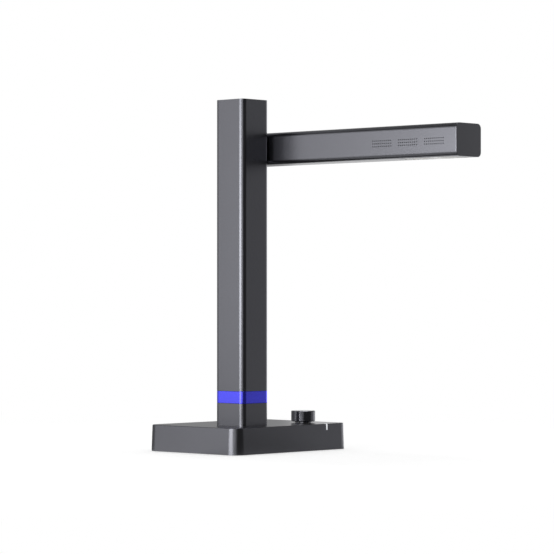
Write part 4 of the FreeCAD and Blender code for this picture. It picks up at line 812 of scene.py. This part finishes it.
mat = bmesh.new()
bmesh.ops.create_grid(mat, x_segments=1, y_segments=1, size=1)
bmesh.ops.scale(mat, verts=mat.verts, vec=(high.x, high.y, 1))
bmesh.ops.bevel(mat, geom=mat.verts[:], affect="VERTICES", offset=CORNER, segments=8, profile=0.5,
                material=-1)
bmesh.ops.solidify(mat, geom=mat.faces[:], thickness=high.z - GROOVE)
lowest = min(vert.co.z for vert in mat.verts)
bmesh.ops.translate(mat, verts=mat.verts, vec=(0, 0, GROOVE - lowest))
bmesh.ops.recalc_face_normals(mat, faces=mat.faces)

across, along = int((high.x - MARGIN) / STUD_STEP), int((high.y - MARGIN) / STUD_STEP)
count = 0
for i in range(-across, across + 1):
    for j in range(-along, along + 1):
        reach = Vector((abs(i) * STUD_STEP - high.x + CORNER, abs(j) * STUD_STEP - high.y + CORNER))
        if min(reach) > 0 and reach.length > CORNER_STUDS:
            continue
        before = len(mat.verts)
        mat.from_mesh(stud)
        bmesh.ops.translate(mat, verts=mat.verts[before:], vec=(i * STUD_STEP, j * STUD_STEP, 0))
        count += 1
mesh = bpy.data.meshes.new("grip_mat")
mat.to_mesh(mesh)

stands_for = {}


def stand_for(piece, node, body):
    """Puts a new piece in a node's place, on its body."""
    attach(piece, body)
    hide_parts(node)
    stands_for[node] = piece.name


stand_for(link("grip_mat", mesh), "desk_mat", "base")

rubber = grained("rubber", (0.018, 0.018, 0.019), 0.0, 0.72, 0.0007, 1.2e-5, tint=0.15)
rubber.mottle(rubber.noise(0.01), 0.1)
dress(rubber, "grip_mat")
print("mat studs", count, "faces", len(mesh.polygons))

# %% [markdown]
# ## Screws
#
# Four countersunk screws with cross recesses hold the bottom cover, and like ones hold the ballast,
# the hinge bracket and the hinge's flange. In construction they are plain pins with cones. Here
# each head is a stack of rings that are bridged to each other, the recess is one more ring whose
# points are drawn in to a cross, and the thread is a zigzag line spun round the axis while it
# climbs. That makes a true helix, which a bump on a cylinder doesn't. The long bolts of the column
# have six-sided sockets.

# %% Screw maker
RING_POINTS = 24
PITCH = 0.0005
THREAD_DEPTH = 0.54 * PITCH
STEPS_A_TURN = 12
HALF_ARM = 0.24
EACH_TURN = 0.7


def ring(mesh, radius, height, shape=None):
    """The edges of one ring of a screw, with its points drawn in where a shape says so."""
    made = bmesh.ops.create_circle(mesh, segments=RING_POINTS, radius=1)["verts"]
    for index, vert in enumerate(made):
        reach = radius * (shape(index) if shape else 1)
        angle = 2 * math.pi * index / RING_POINTS
        vert.co = (reach * math.cos(angle), reach * math.sin(angle), height)
    return list({edge for vert in made for edge in vert.link_edges})


def cross(index):
    """How far a point of a cross lies from its middle, where its arms reach 1."""
    turn = math.radians((360 / RING_POINTS * index + 45) % 90 - 45)
    return min(1 / math.cos(turn), HALF_ARM / max(abs(math.sin(turn)), 1e-6))


def hexagon(index):
    """How far a point of a hexagon lies from its middle, where its corners reach 1."""
    turn = math.radians((360 / RING_POINTS * index + 30) % 60 - 30)
    return math.cos(math.radians(30)) / math.cos(turn)


def threaded_screw(rings, shank_start, shank_end, radius):
    """A bmesh whose head is bridged from rings of radius, height and shape, and its thread."""
    screw = bmesh.new()
    loops = [ring(screw, *row) for row in rings]
    for loop, following in zip(loops, loops[1:]):
        bmesh.ops.bridge_loops(screw, edges=loop + following)
    bmesh.ops.holes_fill(screw, edges=loops[0] + loops[-1], sides=0)
    root, turns = radius - THREAD_DEPTH, round((shank_end - shank_start) / PITCH) - 1
    zigzag = [screw.verts.new((reach, 0, shank_start + step * PITCH))
              for reach, step in ((root, 0), (radius, 0.5), (root, 1))]
    edges = [screw.edges.new(ends) for ends in zip(zigzag, zigzag[1:])]
    bmesh.ops.spin(screw, geom=zigzag + edges, cent=(0, 0, 0), axis=(0, 0, 1),
                   angle=2 * math.pi * turns, steps=STEPS_A_TURN * turns,
                   dvec=(0, 0, PITCH / STEPS_A_TURN))
    bmesh.ops.remove_doubles(screw, verts=screw.verts, dist=1e-6)
    bmesh.ops.holes_fill(screw, edges=[edge for edge in screw.edges if edge.is_boundary], sides=0)
    bmesh.ops.recalc_face_normals(screw, faces=screw.faces)
    return screw


def place_screws(name, node, body, screw, places, way):
    """Copies of one screw at several places, with their shanks along a way.

    Each ends at another turn, as screws do."""
    group = bmesh.new()
    single = bpy.data.meshes.new(name)
    screw.to_mesh(single)
    turn = Vector((0, 0, 1)).rotation_difference(Vector(way)).to_matrix()
    for index, place in enumerate(places):
        before = len(group.verts)
        group.from_mesh(single)
        added = group.verts[before:]
        bmesh.ops.rotate(group, verts=added, cent=(0, 0, 0),
                         matrix=turn @ Matrix.Rotation(EACH_TURN * index, 3, "Z"))
        bmesh.ops.translate(group, verts=added, vec=place)
    group.to_mesh(single)
    stand_for(link(name, single), node, body)
    print(name, len(places), "screws,", len(single.polygons), "faces")


def corners_of(node, inset, axis):
    """The four points inset from a node's box, at its low end along an axis."""
    low, high = (Vector(corner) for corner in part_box(node))
    spans = [(low[i],) if i == axis else (low[i] + inset, high[i] - inset) for i in range(3)]
    return sorted({(x, y, z) for x in spans[0] for y in spans[1] for z in spans[2]})


# %% Screws
# Radii of the head, of the shank, and of the head's last ring, which hides in the shank
HEAD, SHANK, CORE = 0.0027, 0.0015, 0.0006


def flat_head(length):
    """A countersunk screw with a cross recess, its face at zero and its point along +Z."""
    neck = HEAD - SHANK
    rings = [(0.0004, 0.0014, cross), (0.0009, 0.0011, cross), (0.0014, 0, cross),
             (HEAD - 0.0001, 0, None), (HEAD, 0.0001, None), (SHANK, neck, None),
             (SHANK - THREAD_DEPTH, neck + PITCH, None), (CORE, neck + PITCH, None)]
    return threaded_screw(rings, neck, length, SHANK)


place_screws("cover_screws_made", "cover_screws", "base", flat_head(0.01),
             corners_of("cover_screws", HEAD, 2), (0, 0, 1))
low, high = (Vector(corner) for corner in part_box("ballast_screws"))
place_screws("ballast_screws_made", "ballast_screws", "base", flat_head(0.008),
             [((low.x + high.x) / 2, y, low.z) for y in (low.y + HEAD, high.y - HEAD)], (0, 0, 1))
low, high = (Vector(corner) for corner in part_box("bracket_screws"))
place_screws("bracket_screws_made", "bracket_screws", "base", flat_head(high.x - low.x),
             [(high.x, y, z) for x, y, z in corners_of("bracket_screws", HEAD, 0)], (-1, 0, 0))
low, high = (Vector(corner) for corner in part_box("flange_screws"))
place_screws("flange_screws_made", "flange_screws", "arm", flat_head(high.x - low.x),
             [(low.x, y, z) for x, y, z in corners_of("flange_screws", HEAD, 0)], (1, 0, 0))

BOLT_HEAD, BOLT_THREAD = 0.003, 0.02
low, high = (Vector(corner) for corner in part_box("tie_bolts"))
plain_end = high.z - low.z - BOLT_THREAD
socket_head = [(0.0013, 0.0016, hexagon), (0.0014, 0, hexagon), (HEAD - 0.0002, 0, None),
               (HEAD, 0.0002, None), (HEAD, BOLT_HEAD, None), (SHANK, BOLT_HEAD, None),
               (SHANK, plain_end, None), (CORE, plain_end, None)]
place_screws("tie_bolts_made", "tie_bolts", "base",
             threaded_screw(socket_head, plain_end, high.z - low.z, SHANK),
             corners_of("tie_bolts", HEAD, 2), (0, 0, 1))

# %% [markdown]
# ## Blackened steel
#
# The screws are blackened in a hot salt bath. The skin is thin, so it rubs off on the highest
# points, and a little bare steel shows through in spots. A noise with a high threshold gives those
# spots.

# %% Blackened steel
blackened = grained("blackened", (0.035, 0.035, 0.038), 0.9, 0.36, 0.0005, 3e-6, tint=0.15)
rubbed = blackened.span(blackened.noise(0.0011), 0.62, 0.72)
blackened.paint(rubbed, (0.22, 0.22, 0.22))
dress(blackened, "cover_screws_made", "ballast_screws_made", "bracket_screws_made",
      "flange_screws_made", "tie_bolts_made")

# %% Nodes with no finish
bare = [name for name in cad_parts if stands_for.get(name, name) not in dressed]
print("nodes with no finish", bare)
